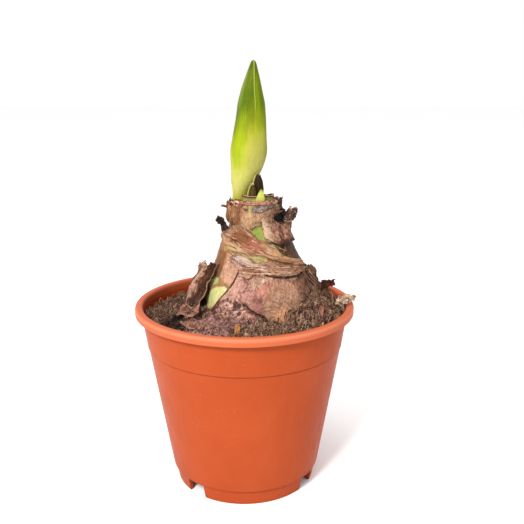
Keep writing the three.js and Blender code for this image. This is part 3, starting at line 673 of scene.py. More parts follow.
def ragged_mask_group():
    """A mask from the distance inside an outline, in millimetres, with an uneven border."""
    tree, start, end = new_group(
        "ragged_mask",
        [("Distance", "Float", 0.0), ("Position", "Vector", None), ("Ragged", "Float", 0.6),
         ("Soft", "Float", 0.3)],
        [("Mask", "Float")])
    coarse = minus(noise(start["Position"], 0.45, 5.0, 0.65), 0.5)
    uneven = plus(start["Distance"], times(coarse, times(start["Ragged"], 4.0)))
    tree.links.new(ranged(uneven, times(start["Soft"], -1.0), start["Soft"]), end["Mask"])
    return tree


def crumb_relief_group():
    """The uneven, pitted surface of dry skin and of crumbs: a height from 0 to 1."""
    tree, start, end = new_group(
        "crumb_relief", [("Position", "Vector", None), ("Size", "Float", 1.0)], [("Height", "Float")])
    scale = maths("DIVIDE", 1.0, start["Size"])
    soft = noise(start["Position"], scale, 6.0, 0.65)
    cells = join("ShaderNodeTexVoronoi", {"Vector": start["Position"], "Scale": scale})
    pits = ranged(cells["Distance"], 0.0, 0.6)
    tree.links.new(plus(times(soft, 0.75), times(pits, 0.25)), end["Height"])
    return tree


FIBRE_STREAKS = fibre_streaks_group()
BLOTCHES = blotches_group()
SPECKS = specks_group()
RAGGED_MASK = ragged_mask_group()
CRUMB_RELIEF = crumb_relief_group()


# How the paler and darker paints change a skin's own colour: painted highlights on the ridges and
# painted shade in the creases of its relief, and the paler and darker flecks of fine wear.
PALER = (1.5, 1.5, 1.48, 1.0)
DARKER = (0.3, 0.22, 0.2, 1.0)


class Look:
    """The finish of a piece: paints laid over each other from the ground up, and a fine relief."""

    def __init__(self, name, ground, roughness=0.7, shine=0.13):
        self.material = bpy.data.materials.new(name)
        self.material.use_nodes = True
        self.tree = self.material.node_tree
        self.shader = self.tree.nodes["Principled BSDF"].inputs
        self.shader["Roughness"].default_value = roughness
        self.shader["Specular IOR Level"].default_value = shine
        place = add_node(self.tree, "ShaderNodeTexCoord").outputs["Object"]
        millimetres = {0: place, "Scale": 1 / MM}
        self.place = join("ShaderNodeVectorMath", millimetres, operation="SCALE")[0]
        self.paint = ground
        self.heights = []
        self.marks = []

    def value(self, name, output="Fac"):
        """A value that the piece keeps for each of its vertices."""
        return add_node(self.tree, "ShaderNodeAttribute", attribute_name=name).outputs[output]

    def over(self, mask, paint, strength=1.0, blend="MIX"):
        factor = times(mask, strength) if strength != 1.0 else mask
        self.paint = mixed(factor, self.paint, paint, blend)

    def patches(self, size, contrast=0.5, offset=0.0):
        """Where uneven patches lie. An offset keeps two sets of them from coinciding."""
        place = moved(self.place, offset, offset, offset) if offset else self.place
        return use_group(BLOTCHES, {"Position": place, "Size": size, "Contrast": contrast})["Factor"]

    def dots(self, size, amount, place=None):
        inputs = {"Position": place or self.place, "Size": size, "Amount": amount}
        return use_group(SPECKS, inputs)["Mask"]

    def blotches(self, paint, size, strength=1.0, contrast=0.5, offset=0.0):
        self.over(self.patches(size, contrast, offset), paint, strength)

    def specks(self, paint, size, amount, strength=1.0):
        self.over(self.dots(size, amount), paint, strength)

    def streaks(self, paint, density, strength=0.6, stretch=0.06, wander=1.5, thread=None, relief=0.5,
                source="fibre", within=None):
        """Streaks in one colour, thin threads in another, and a relief that follows both."""
        inputs = {"Fibre": self.value(source, "Vector"), "Density": density, "Stretch": stretch,
                  "Wander": wander}
        found = use_group(FIBRE_STREAKS, inputs)
        streak, fine = found["Streak"], found["Thread"]
        if within:
            streak, fine = times(streak, within), times(fine, within)
        self.over(streak, paint, strength)
        if thread:
            self.over(fine, thread, strength)
        self.heights += [(streak, relief), (fine, -0.5 * relief)]

    def ragged(self, distance, ragged, soft):
        inputs = {"Distance": distance, "Position": self.place, "Ragged": ragged, "Soft": soft}
        return use_group(RAGGED_MASK, inputs)["Mask"]

    def inside(self, name, ragged=0.6, soft=0.3):
        """1 inside one of the outlines on the bulb, with an uneven border."""
        if name not in self.marks:
            self.marks.append(name)
        return self.ragged(self.value("mark_" + name), ragged, soft)

    def mark(self, name, paint, ragged=0.6, soft=0.3, strength=1.0, relief=0.0):
        """A patch in another colour inside one of the outlines on the bulb."""
        mask = self.inside(name, ragged, soft)
        if relief:
            self.heights.append((mask, relief))
        self.over(mask, paint, strength)

    def edge(self, paint, width=1.0, ragged=0.5, strength=1.0):
        """Another colour along the piece's borders."""
        self.over(self.ragged(minus(width, self.value("border")), ragged, 0.4), paint, strength)

    def shaded(self, value, low, middle, high, strength):
        """Darker than the skin where a value falls to low, paler where it rises to high."""
        self.over(ranged(value, middle, high), PALER, strength, "MULTIPLY")
        self.over(ranged(value, middle, low), DARKER, strength, "MULTIPLY")

    def relief_highlight_and_shade(self, reach=0.3, strength=0.6):
        """Painted highlights on the ridges of the piece's own relief and painted shade in its creases."""
        self.shaded(self.value("raised"), -reach, 0.0, reach, strength)

    def weathered(self, amount=0.6, relief=1.0, grain=0.55):
        """Fine uneven wear: flecks and short fibres, paler and darker than the skin."""
        fibres = noise(stretched(self.value("fibre", "Vector"), 1.2, 0.2), 1.0, 4.0, 0.65)
        flecks = noise(self.place, grain, 6.0, 0.72)
        wear = plus(times(fibres, 0.45), times(flecks, 0.55))
        self.heights.append((wear, relief))
        self.shaded(wear, 0.41, 0.495, 0.58, amount)

    def done(self, depth=0.35, crumbs=None, strength=1.0):
        """Joins the paint and the relief, depth millimetres deep, to the shader.

        crumbs is the size and the share in the relief of an uneven, pitted surface."""
        self.tree.links.new(self.paint, self.shader["Base Color"])
        if crumbs:
            height = use_group(CRUMB_RELIEF, {"Position": self.place, "Size": crumbs[0]})["Height"]
            self.heights.append((height, crumbs[1]))
        if self.heights:
            total = 0.5
            for height, share in self.heights:
                total = plus(total, times(height, share))
            inputs = {"Strength": strength, "Distance": depth * MM, "Height": total}
            self.tree.links.new(join("ShaderNodeBump", inputs)[0], self.shader["Normal"])
        return self


# The pot

def wall_radius(height):
    along = (height - LEDGE_HEIGHT) / (POT_HEIGHT - RIM_BAND - LEDGE_HEIGHT)
    return lerp(LEDGE_RADIUS, WALL_TOP_RADIUS, along)


def rounded(centre_radius, centre_height, size, start, stop, steps):
    """Points on an arc, from a start to a stop angle in degrees."""
    angles = np.radians(np.linspace(start, stop, steps))
    return [(centre_radius + size * math.cos(a), centre_height + size * math.sin(a)) for a in angles]


def pot_profile():
    """The pot's outline from the middle of its underside over the rim to the middle of its floor."""
    foot, shoulder, top = FOOT_BOTTOM_RADIUS, LEDGE_RADIUS, WALL_TOP_RADIUS
    band_bottom, hollow_top = POT_HEIGHT - RIM_BAND, POT_HEIGHT - 2.1
    skirt_inner = top + RIM_HOLLOW
    floor_top = LEDGE_HEIGHT + WALL
    line = STACK_LINE_HEIGHT
    below, above = wall_radius(line) - 0.05, wall_radius(line) + STACK_LINE_STEP
    return [
        (0, LEDGE_HEIGHT), (FOOT_TOP_RADIUS - FOOT_THICKNESS, LEDGE_HEIGHT),
        (foot - FOOT_THICKNESS, 0), (foot - 0.6, 0), *rounded(foot - 0.6, 0.6, 0.6, -60, 0, 4),
        (FOOT_TOP_RADIUS, LEDGE_HEIGHT - 0.9), *rounded(shoulder - 0.7, LEDGE_HEIGHT + 0.3, 0.7, -80, 0, 5),
        *((wall_radius(h), h) for h in (14, 30, 50, 70, line - 1.2)),
        (below, line - 0.5), (below, line - 0.12), (above, line + 0.12), (above, line + 0.6),
        (top + 0.1, band_bottom), (top + 0.1, hollow_top), (skirt_inner, hollow_top),
        (skirt_inner, band_bottom), *rounded(RIM_RADIUS - 0.35, band_bottom + 0.35, 0.35, -90, 0, 4),
        *rounded(RIM_RADIUS - 1.7, POT_HEIGHT - 1.7, 1.7, 8, 90, 9),
        *rounded(top + 0.8, POT_HEIGHT - 1.9, 1.9, 96, 170, 7), (top - WALL, POT_HEIGHT - 4),
        *((wall_radius(h) - WALL, h) for h in (line, 60, floor_top + 2.4)),
        *rounded(wall_radius(floor_top) - WALL - 1.9, floor_top + 2, 2, -5, -90, 5), (0, floor_top)]


def make_pot():
    """The pot's outline spun round its axis, with the foot's notches and drain slots cut out."""
    places = np.array([(radius, 0, height) for radius, height in pot_profile()])
    pot = mesh_piece("pot_shell", places, edges=[(i, i + 1) for i in range(len(places) - 1)])
    with editing(pot):
        bpy.ops.mesh.spin(steps=POT_SIDES, angle=2 * math.pi, center=(0, 0, 0), axis=(0, 0, 1))
    weld(pot)
    notch_width = 2 * FOOT_TOP_RADIUS * math.sin(math.radians(NOTCH_ANGLE / 2))
    for wide, (deep, tall, inwards, height) in ((notch_width, NOTCH_BOX), (notch_width - 2, DRAIN_BOX)):
        for azimuth in NOTCH_AZIMUTHS:
            cut_box(pot, wide, deep, tall, inwards - FOOT_TOP_RADIUS, height, azimuth)
    finish_piece(pot, pot_look(), "pot_plastic", ("pot",), angle=32)


def cut_box(pot, wide, deep, tall, from_axis, height, azimuth):
    """Cuts a box out of the pot: it stands in front of the axis and is turned to an azimuth."""
    turn = math.radians(azimuth)
    place = (-from_axis * math.sin(turn) * MM, from_axis * math.cos(turn) * MM, height * MM)
    box = added(bpy.ops.mesh.primitive_cube_add, size=1, location=place, rotation=(0, 0, turn))
    box.scale = (wide * MM, deep * MM, tall * MM)
    bpy.ops.object.transform_apply(location=True, rotation=True, scale=True)
    apply_modifier(pot, "BOOLEAN", operation="DIFFERENCE", object=box, solver="EXACT")
    bpy.data.objects.remove(box)


def pot_look():
    """Terracotta-coloured moulded plastic: satin, faintly cloudy, with scuffs and specks of soil; painted
    highlights on the rim, painted shadow lines at the stacking step and the ledge, and painted shade
    inside the wall.
    """
    look = Look("moulded_plastic", (184, 77, 36), 0.42, 0.05)
    look.blotches((194, 85, 43), 34.0, 1.0, 0.1)
    height = part(look.place, "Z")
    band_bottom = POT_HEIGHT - RIM_BAND
    # Painted highlights: the rim band, and more so its upper outer edge, painted paler.
    look.over(ranged(height, band_bottom - 0.3, band_bottom + 0.3), (222, 118, 80), 0.65)
    rim_highlight = times(ranged(height, 107.9, 109.0), ranged(height, 110.4, 109.8))
    look.over(rim_highlight, (236, 146, 112), 0.5)
    # Painted shadow lines under the step at the stacking line and at the ledge above the foot.
    for line, low, high, strength in ((STACK_LINE_HEIGHT - 0.3, 0.15, 0.6, 0.65), (9.6, 0.1, 0.45, 0.55)):
        from_line = maths("ABSOLUTE", minus(height, line))
        look.over(falling(from_line, low, high), (136, 50, 28), strength)
    radius = join("ShaderNodeVectorMath", {0: stretched(look.place, 1.0, 0.0)}, operation="LENGTH")["Value"]
    inside = falling(minus(radius, times(height, 0.165)), 42.6, 42.9)
    inner = times(inside, ranged(height, 88.0, 92.0))
    dusty = times(look.patches(7.0, 0.4), inner, falling(height, 100.0, 107.5))
    look.over(dusty, (104, 40, 12), 0.6)
    # Painted shade: the upper inside of the wall painted darker.
    look.over(inner, (156, 50, 10), 0.6)
    look.specks((126, 56, 36), 1.1, 0.16, 0.55)
    look.over(look.dots(0.8, 0.13, moved(look.place, 31.0, 12.0, 5.0)), (250, 170, 130), 0.5)
    scuffs = noise(stretched(look.place, 0.5, 0.04), 1.0, 4.0, 0.6)
    look.tree.links.new(ranged(scuffs, 0.3, 0.7, 0.36, 0.5), look.shader["Roughness"])
    waves = noise(stretched(look.place, 0.05, 0.02), 1.0, 1.0)
    look.heights = [(noise(look.place, 1.6, 3.0, 0.6), 0.12), (waves, 2.2)]
    return look.done(0.22, strength=0.6)


# The soil

def crust(x, y):
    """1 where packed soil and old skin make a firm crust in front of the bulb's left half."""
    right_end = 13 + 0.9 * (y + 33)
    return smooth(right_end - x, -1, 3) * smooth(x, -34, -29) * smooth(-y, 22, 27)


# The middle of a small hollow in the soil at the left, painted nearly black as its shade.
HOLLOW = (-38.5, -24.0)

# Where the bulb stands in the soil, and its radius there.
BULB_PLACE = (10, 4)
BULB_RADIUS = 36

# The low patch of soil in front of the bulb's dome, and a dip beside it at the foot of the right mound.
LOW_PATCH = (21, -36)
RIGHT_DIP = (30, -27)

# The soil's mounds: their middle, how high and how wide they are, and how far they run backwards.
MOUNDS = (
    ((36, -27), 11, 9, 1),
    ((45, -3), 9.5, 6.5, 0.7),
    ((-35, -18), 6.5, 8.5, 1),
    ((-12, -40), 2.6, 8, 1),
    ((8, 50), 3, 14, 1),
)


def apart(x, y, place):
    return np.hypot(x - place[0], y - place[1])


def soil_height(x, y):
    """The height of the soil's top: low at the back left, with mounds on both sides of the bulb."""
    radius = np.hypot(x, y)
    azimuth = np.arctan2(x, -y)
    base = 104 + 3 * np.cos(azimuth - math.radians(35)) * smooth(radius, 0, 30)
    mounds = sum(tall * hill(np.hypot(x - place[0], (y - place[1]) * squeezed), spread)
                 for place, tall, spread, squeezed in MOUNDS)
    against = 2.4 * hill(np.maximum(apart(x, y, BULB_PLACE) - BULB_RADIUS, 0), 6)
    hollow = 5.5 * hill(apart(x, y, HOLLOW), 3.6)
    below_dome = 2.8 * hill(apart(x, y, LOW_PATCH), 6) + 3.2 * hill(apart(x, y, RIGHT_DIP), 5)
    mounds = mounds + against - hollow - below_dome
    uneven = 1.5 * lumps(x, y, 0, 15, 0.6) + 1.1 * lumps(x, y, 7, 9, 3.1)
    calm = 1 - 0.6 * smooth(radius, 50, 59)
    return base + (mounds + uneven) * calm


def soil_crumbling(x, y):
    """The crumbly relief on top of the soil's height."""
    flat = stacked(x, y, 0)
    clods = np.abs(cloud(flat, 4.2, 3)) * 2.4
    fine = rough(flat, 2.2, 3, 11)
    crusted = 0.8 + 1.5 * rough(flat, 6, 4, 21) - 0.8 * creased(rough(flat, 4, 2, 29), 0.15)
    crumbling = lerp(0.9 - clods + fine, crusted, crust(x, y))
    return crumbling * (1 - 0.5 * smooth(np.hypot(x, y), 55, 59))


def soil_top(x, y):
    return soil_height(x, y) + soil_crumbling(x, y)


def make_soil():
    """The soil as one closed body: a crumbly top, the pot's inner wall and floor below it."""
    soil, u, v = new_grid("soil_body", (200, 200))
    x, y = 2 * u - 1, 2 * v - 1
    disc_x, disc_y = x * np.sqrt(1 - y * y / 2), y * np.sqrt(1 - x * x / 2)
    radius = wall_radius(105) - WALL - 0.25
    disc_x, disc_y = disc_x * radius, disc_y * radius
    place_corners(soil, stacked(disc_x, disc_y, soil_top(disc_x, disc_y)))
    floor = LEDGE_HEIGHT + WALL + 0.35
    with editing(soil, "DESELECT"):
        bpy.ops.mesh.select_non_manifold()
        bpy.ops.mesh.extrude_edges_move()
    places = corners_of(soil) / MM
    lower = np.arange(len(places)) >= len(u)
    shrink = (wall_radius(floor + 3) - WALL - 0.6) / radius
    places[lower] = places[lower] * (shrink, shrink, 0) + (0, 0, floor + 2)
    place_corners(soil, places)
    with editing(soil, "DESELECT"):
        bpy.ops.mesh.select_non_manifold()
        bpy.ops.mesh.extrude_edges_move()
        bpy.ops.mesh.merge(type="CENTER")
    places = corners_of(soil) / MM
    places[-1, 2] = floor
    place_corners(soil, places)
    weld(soil, 0.0005)
    places = corners_of(soil) / MM
    keep_values(soil, "crust", crust(places[:, 0], places[:, 1]))
    keep_values(soil, "fibre", places)
    finish_piece(soil, soil_look(), "potting_soil", ("soil",), angle=80)


def open_ground(count, draw, inner=34.5, outer=58.6):
    """Places on the soil outside the bulb, more of them in the mounds at the front."""
    found = []
    while len(found) < count:
        x, y = draw.uniform(-outer, outer, 2)
        clear = apart(x, y, BULB_PLACE) > inner and math.hypot(x, y) < outer
        chance = (1 if y < 15 else 0.55) * (1 - 0.9 * crust(x, y))
        chance *= 1 - 0.97 * hill(apart(x, y, HOLLOW), 4.5)
        chance *= 1 - 0.85 * hill(apart(x, y, LOW_PATCH), 3.5)
        if clear and draw.uniform() < chance:
            found.append((x, y))
    return np.array(found)


def turned_copies(shape, turns):
    """Copies of a shape's points, each turned by its own random quaternion."""
    q = turns / np.linalg.norm(turns, axis=1, keepdims=True)
    w, x, y, z = q.T
    rows = np.stack((
        np.stack((1 - 2 * (y * y + z * z), 2 * (x * y - z * w), 2 * (x * z + y * w)), -1),
        np.stack((2 * (x * y + z * w), 1 - 2 * (x * x + z * z), 2 * (y * z - x * w)), -1),
        np.stack((2 * (x * z - y * w), 2 * (y * z + x * w), 1 - 2 * (x * x + y * y)), -1)), 1)
    return np.einsum("nij,nkj->nki", rows, shape)


def ball_shape(subdivisions):
    """The points and faces of a ball of unit radius."""
    ball = added(bpy.ops.mesh.primitive_ico_sphere_add, subdivisions=subdivisions, radius=1)
    points = corners_of(ball)
    faces = np.array([tuple(polygon.vertices) for polygon in ball.data.polygons])
    bpy.data.objects.remove(ball)
    return points, faces


def make_crumbs(name, count, low_size, high_size, subdivisions, seed, look):
    """Crumbs of soil: dented balls of many sizes, half sunk into the soil's top."""
    draw = np.random.default_rng(seed)
    ground = open_ground(count, draw)
    points, faces = ball_shape(subdivisions)
    size = low_size * (high_size / low_size) ** (draw.uniform(size=count) ** 2.2)
    stretch = draw.uniform(0.6, 1.15, (count, 1, 3))
    shape = turned_copies(points[None] * stretch, draw.normal(size=(count, 4)))
    dents = cloud(shape + np.arange(count)[:, None, None] * 13.7, 0.7, seed)
    shape = shape * (1 + 0.55 * dents[..., None]) * size[:, None, None]
    height = soil_top(ground[:, 0], ground[:, 1]) + size * draw.uniform(-0.25, 0.6, count)
    centres = np.column_stack((ground, height))
    places = (shape + centres[:, None]).reshape(-1, 3)
    all_faces = (faces[None] + (np.arange(count) * len(points))[:, None, None]).reshape(-1, 3)
    crumbs = mesh_piece(name, places, faces=all_faces.tolist())
    keep_values(crumbs, "tone", np.repeat(draw.uniform(size=count), len(points)))
    finish_piece(crumbs, look, "potting_soil", angle=55)


def make_threads(name, paths, radii, look, slot, tones, flat=1.0, facing=(0.31, 0.17, 0.93),
                 replaced=()):
    """Thin three-sided threads along paths: an array of (thread, step, xyz) in millimetres.

    With flat above 1 they are strips, that many times as wide, whose flat side looks along facing."""
    count, steps = paths.shape[:2]
    ahead = unit(np.gradient(paths, axis=1))
    side = unit(np.cross(ahead, np.array(facing))) * flat
    up = unit(np.cross(ahead, side))
    taper = np.interp(np.linspace(0, 1, steps), (0, 0.15, 0.8, 1), (0.5, 1, 0.9, 0.35))
    rings = []
    for angle in np.radians((90, 210, 330)):
        spoke = side * math.cos(angle) + up * math.sin(angle)
        rings.append(paths + spoke * (radii[:, None] * taper)[..., None])
    places = np.stack(rings, axis=2).reshape(-1, 3)
    first = (np.arange(count) * steps * 3)[:, None] + (np.arange(steps - 1) * 3)[None]
    faces = []
    for corner in range(3):
        following = (corner + 1) % 3
        a, b = first + corner, first + following
        faces += [np.stack((a, b, b + 3), -1), np.stack((a, b + 3, a + 3), -1)]
    start = (np.arange(count) * steps * 3)[:, None]
    end = start + (steps - 1) * 3
    faces += [np.stack((start + 2, start + 1, start), -1), np.stack((end, end + 1, end + 2), -1)]
    faces = np.concatenate([face.reshape(-1, 3) for face in faces])
    threads = mesh_piece(name, places, faces=faces.tolist())
    keep_values(threads, "tone", np.repeat(tones, steps * 3))
    finish_piece(threads, look, slot, replaced, angle=80)


def make_soil_fibres(name, count, seed, reach, thickness, look):
    """Coir fibres and fine dead roots that lie on the soil, curl and stick out of it."""
    draw = np.random.default_rng(seed)
    steps = 8
    ground = open_ground(count, draw)
    heading = draw.uniform(0, 2 * math.pi, count)
    bend = draw.normal(0, 0.3, (count, 1)) + draw.normal(0, 0.3, (count, steps - 1))
    angle = heading[:, None] + np.cumsum(bend, axis=1)
    stride = (reach[0] + (reach[1] - reach[0]) * draw.uniform(size=count) ** 2) / steps
    start = np.zeros((count, 1))
    x = ground[:, :1] + np.hstack((start, np.cumsum(np.cos(angle), axis=1))) * stride[:, None]
    y = ground[:, 1:] + np.hstack((start, np.cumsum(np.sin(angle), axis=1))) * stride[:, None]
    inwards = np.minimum(1, 58.4 / np.hypot(x, y))
    x, y = x * inwards, y * inwards
    share = np.linspace(0, 1, steps)[None]
    rise = draw.uniform(0, 2.6, (count, 1)) ** 1.4
    arch = rise * np.sin(math.pi * share * draw.uniform(0.5, 1.1, (count, 1)))
    height = soil_height(x, y) + 0.75 * soil_crumbling(x, y) + 0.35 + arch
    radii = draw.uniform(thickness[0], thickness[1], count)
    make_threads(name, stacked(x, y, height), radii, look, "potting_soil", draw.uniform(size=count))


# The middle of the painted shade, nearly black, on the soil inside the rim at the front left.
RIM_SHADE_MIDDLE = (-43.0, -38.0)


def ground_distance(place, middle):
    """How far a place lies from a point on the soil, seen from above."""
    inputs = {0: stretched(place, 1.0, 0.0), 1: (*middle, 0.0)}
    return join("ShaderNodeVectorMath", inputs, operation="DISTANCE")["Value"]


def paint_soil_shade(look, shade, shaded, black, blackened):
    """Painted shade: the soil is darker at the left and behind the bulb, and nearly black in the hollow
    and inside the rim at the front left.
    """
    place = look.place
    from_front = plus(part(place, "X"), times(part(place, "Y"), -0.9))
    hollow = ranged(ground_distance(place, HOLLOW), 7.0, 3.5)
    rim_shade = plus(ground_distance(place, RIM_SHADE_MIDDLE), times(noise(place, 0.35, 3.0), 12.0))
    rim_shade = times(ranged(rim_shade, 20.0, 12.0), 0.8)
    look.over(ranged(from_front, 8.0, -30.0), shade, shaded)
    look.over(maths("MAXIMUM", hollow, rim_shade), black, blackened)


def soil_look():
    look = Look("peaty_soil", (112, 72, 57), 0.95)
    look.blotches((56, 35, 28), 5.0, 0.8, 0.5)
    look.blotches((170, 120, 96), 2.2, 0.7, 0.6, 40.0)
    look.specks((214, 172, 140), 0.7, 0.44, 0.8)
    look.specks((30, 20, 18), 1.3, 0.4, 0.8)
    crusted = look.value("crust")
    look.over(crusted, (156, 108, 98), 0.9)
    look.blotches((70, 38, 34), 2.6, 0.7, 0.7, 7.0)
    look.blotches((206, 164, 152), 1.5, 0.4, 0.85, 19.0)
    look.weathered(0.8, 1.5, 0.5)
    look.specks((48, 28, 26), 0.9, 0.4, 0.8)
    # Painted shade at the left, behind the bulb, in the hollow and inside the rim at the front left.
    paint_soil_shade(look, (46, 29, 24), 0.48, (8, 6, 7), 0.96)
    return look.done(0.7, (1.3, 1.0))


def crumb_look():
    look = Look("soil_crumbs", (136, 90, 72), 0.95)
    tone = look.value("tone")
    look.over(falling(tone, 0.42, 0.46), (68, 40, 32))
    look.over(falling(tone, 0.2, 0.24), (32, 20, 18))
    look.over(ranged(tone, 0.74, 0.78), (196, 142, 114))
    look.over(ranged(tone, 0.93, 0.95), (232, 182, 144))
    look.blotches((96, 66, 54), 1.2, 0.6, 0.6)
    look.blotches((176, 132, 110), 0.9, 0.4, 0.7, 13.0)
    # Painted shade at the left, behind the bulb, in the hollow and inside the rim at the front left.
    paint_soil_shade(look, (46, 29, 24), 0.48, (8, 6, 7), 0.96)
    return look.done(0.4, (0.8, 1.0))


def thread_look(name, dark, middle_tone, light):
    """Fibres whose tone runs from dark through a middle tone to light."""
    look = Look(name, dark, 0.7)
    tone = look.value("tone")
    look.over(ranged(tone, 0.1, 0.5), middle_tone)
    look.over(ranged(tone, 0.5, 0.95), light)
    look.blotches(dark, 2.0, 0.45, 0.6)
    # Painted shade at the left, behind the bulb, in the hollow and inside the rim at the front left.
    paint_soil_shade(look, dark, 0.28, (20, 15, 14), 0.85)
    return look.done()


# The bulb and its dry scales

def papery(width, length, veins=0.12, spacing=1.1, crumple=0.3, size=7.0, grit=0.0, seed=1):
    """The relief of dry skin: veins along it, long wrinkles, sharp creases and, on rough skin, grit."""
    def relief(places, u, v):
        across, along = u * width, v * length
        sway = 1.4 * cloud_at(across / 9, along / 14, seed, seed)
        ridges = cloud_at((across + sway) / spacing, along / (12 * spacing), seed, seed + 3)
        wrinkles = rough(stacked((across + sway) / size, along / (2.2 * size), seed), 1.0, 3, seed + 9)
        crossing = stacked((across - sway) / (0.7 * size), along / (1.3 * size), seed)
        crease = rough(crossing, 1.0, 3, seed + 15)
        total = veins * (1 - 2 * np.abs(ridges)) + crumple * wrinkles
        total = total - 0.9 * crumple * creased(crease, 0.22)
        if grit:
            total = total + grit * rough(places, 1.3, 2, seed + 21)
        return total

    return relief


def crumpled(width, length, amount, size, seed):
    """Sharp folds in all directions, as in crushed dry skin."""
    def swell(u, v):
        place = stacked(u * width / size, v * length / size, seed)
        folds = 1 - 2 * np.abs(cloud(place, 1.0, seed))
        small_folds = 1 - 2 * np.abs(cloud(2.3 * place, 1.0, seed + 4))
        return amount * (folds - 0.5 + 0.45 * (small_folds - 0.5))

    return swell


# How the bulb's body runs from the middle of its base over its widest part to the middle of the neck.
BULB_ROWS = (0, 0.03, 0.12, 0.95, 1)
BULB_HEIGHTS = (BULB_BASE, BULB_BASE + 0.5, 90, NECK_TOP, NECK_TOP - NECK_DISH)
BULB_SHARES = (0, 1, 1, 1, 0)

# Torn ends of older skins on the bulb's sides and back: below each line the bulb is one skin thicker.
SKIN_ENDS = (
    curve([(-180, 128), (-140, 124), (-120, 131), (-95, 140), (-76, 143), (-62, 128), (-50, 112)]),
    curve([(88, 118), (104, 136), (124, 141), (150, 133), (180, 128)]),
    curve([(-180, 146), (-150, 151), (-118, 147), (-104, 130), (-90, 118)]),
    curve([(96, 120), (120, 147), (146, 152), (180, 146)]),
)


def bulb_point(u, v):
    azimuth = 360 * u - 180
    height = np.interp(v, BULB_ROWS, BULB_HEIGHTS)
    share = np.interp(v, BULB_ROWS, BULB_SHARES)
    axis = stacked(bulb_axis_x(height), bulb_axis_y(height), height)
    return axis + (skin(azimuth, height) - axis) * share[..., None]


def bulb_where(u, v):
    return 360 * u - 180, np.interp(v, BULB_ROWS, BULB_HEIGHTS)


def bulb_cover(u, v):
    """1 where the wrapping scale lies over the bulb, and 0 at the bulb's two ends, as two shares."""
    azimuth, height = bulb_where(u, v)
    beside = smooth(azimuth, -130, -120) * fall(azimuth, 70, 76)
    above_foot = smooth(height - wrap_bottom(azimuth), -0.5, 0.5)
    under_wrap = above_foot * smooth(wrap_top(azimuth) - height, -0.2, 0.5)
    return beside * under_wrap, smooth(height, 58, 64) * smooth(NECK_TOP - 0.3 - height, 0, 3)


def bulb_surface(places, u, v):
    azimuth, height = bulb_where(u, v)
    covered, between_ends = bulb_cover(u, v)
    veins = 0.1 * veined(azimuth / 2.3, height / 18, 0, 5)
    return (veins + 0.3 * rough(places, 7, 4, 8)) * (1 - covered) * between_ends


def bulb_steps(u, v):
    """The torn ends of older skins on the sides, and the peeled places, which lie deeper."""
    azimuth, height = bulb_where(u, v)
    covered, between_ends = bulb_cover(u, v)
    sides = smooth(np.abs(azimuth), 76, 96)
    frayed = 1.5 * cloud_at(azimuth / 5, 0, 4, 2) + 0.7 * cloud_at(azimuth / 1.6, 0, 9, 3)
    steps = 0.0
    for number, end in enumerate(SKIN_ENDS):
        steps = steps + 0.45 * sides * smooth(end(azimuth) + frayed * (1 + number % 2) - height, 0, 0.5)
    for name in ("green_left", "green_upper_left", "green_triangle", "green_strip", "green_sliver"):
        steps = steps - 0.35 * over_outline(azimuth, height, name)
    return lerp(steps, -0.15, covered) * between_ends


def bulb_values(u, v):
    azimuth, height = bulb_where(u, v)
    return {"slant": stacked(height + 0.12 * azimuth, 0, 0.3 * azimuth)}


def bulb_look():
    look = Look("bulb_skin", (192, 142, 98), 0.5)
    look.blotches((154, 100, 66), 8.0, 0.6, 0.4)
    look.streaks((168, 114, 74), 1.2, 0.45, 0.05, 2.0, (132, 84, 56), 0.4)
    look.mark("flank_orange", (142, 78, 38), 0.8, 1.2, 0.9)
    look.mark("pink_flank", (228, 170, 144), 0.9, 1.0, 0.85)
    look.mark("neck_base", (158, 108, 74), 0.8, 1.2, 0.75)
    slanted = look.inside("neck_base", 0.8, 1.2)
    look.streaks((212, 168, 126), 1.3, 0.6, 0.06, 1.5, (104, 64, 44), 0.6, "slant", slanted)
    look.weathered(0.5)
    look.relief_highlight_and_shade(0.35, 0.6)
    # The right flank's dark skin, painted darker still as the shade under the curled flap.
    look.mark("flank_dark", (60, 18, 12), 0.8, 1.0, 0.97)
    dark = look.inside("flank_dark", 0.8, 1.5)
    look.streaks((110, 54, 40), 1.2, 0.3, 0.06, 2.0, (34, 14, 12), 0.4, "fibre", dark)
    faint = times(dark, 0.35)
    look.streaks((200, 146, 122), 1.9, 0.5, 0.06, 2.0, None, 0.4, "slant", faint)
    look.mark("flap_shadow", (78, 36, 26), 0.4, 0.8, 0.75)
    for name, paint in (("green_left", (255, 255, 176)), ("green_upper_left", (226, 226, 140)),
                        ("green_triangle", (184, 200, 96)), ("green_strip", (222, 222, 138)),
                        ("green_sliver", (206, 212, 110))):
        look.mark(name, (168, 112, 66), 0.5, 0.25, 0.8)
        look.mark(name, paint, 0.45, 0.35, 0.96, -0.8)
    mottle = look.patches(1.6)
    for name, paint in (("green_left", (214, 206, 116)), ("green_strip", (212, 170, 122)),
                        ("green_triangle", (150, 168, 70))):
        look.over(times(look.inside(name, 0.45, 0.3), mottle), paint, 0.65)
    look.streaks((206, 186, 120), 1.4, 0.16, 0.03, 1.0, None, 0.3)
    look.specks((96, 62, 44), 0.9, 0.3, 0.55)
    return look.done(0.4, (1.2, 0.35))


def make_bulb():
    tube_piece("bulb_body", (bulb_look(), "bulb_skin", ("bulb",)), bulb_point, (240, 230), bulb_surface,
               bulb_steps, bulb_where, bulb_values, 30.0)


lower_crease = curve([(-30, 122), (-22, 119.2), (-8, 113.4), (0, 111.8), (6, 108), (12, 100)])


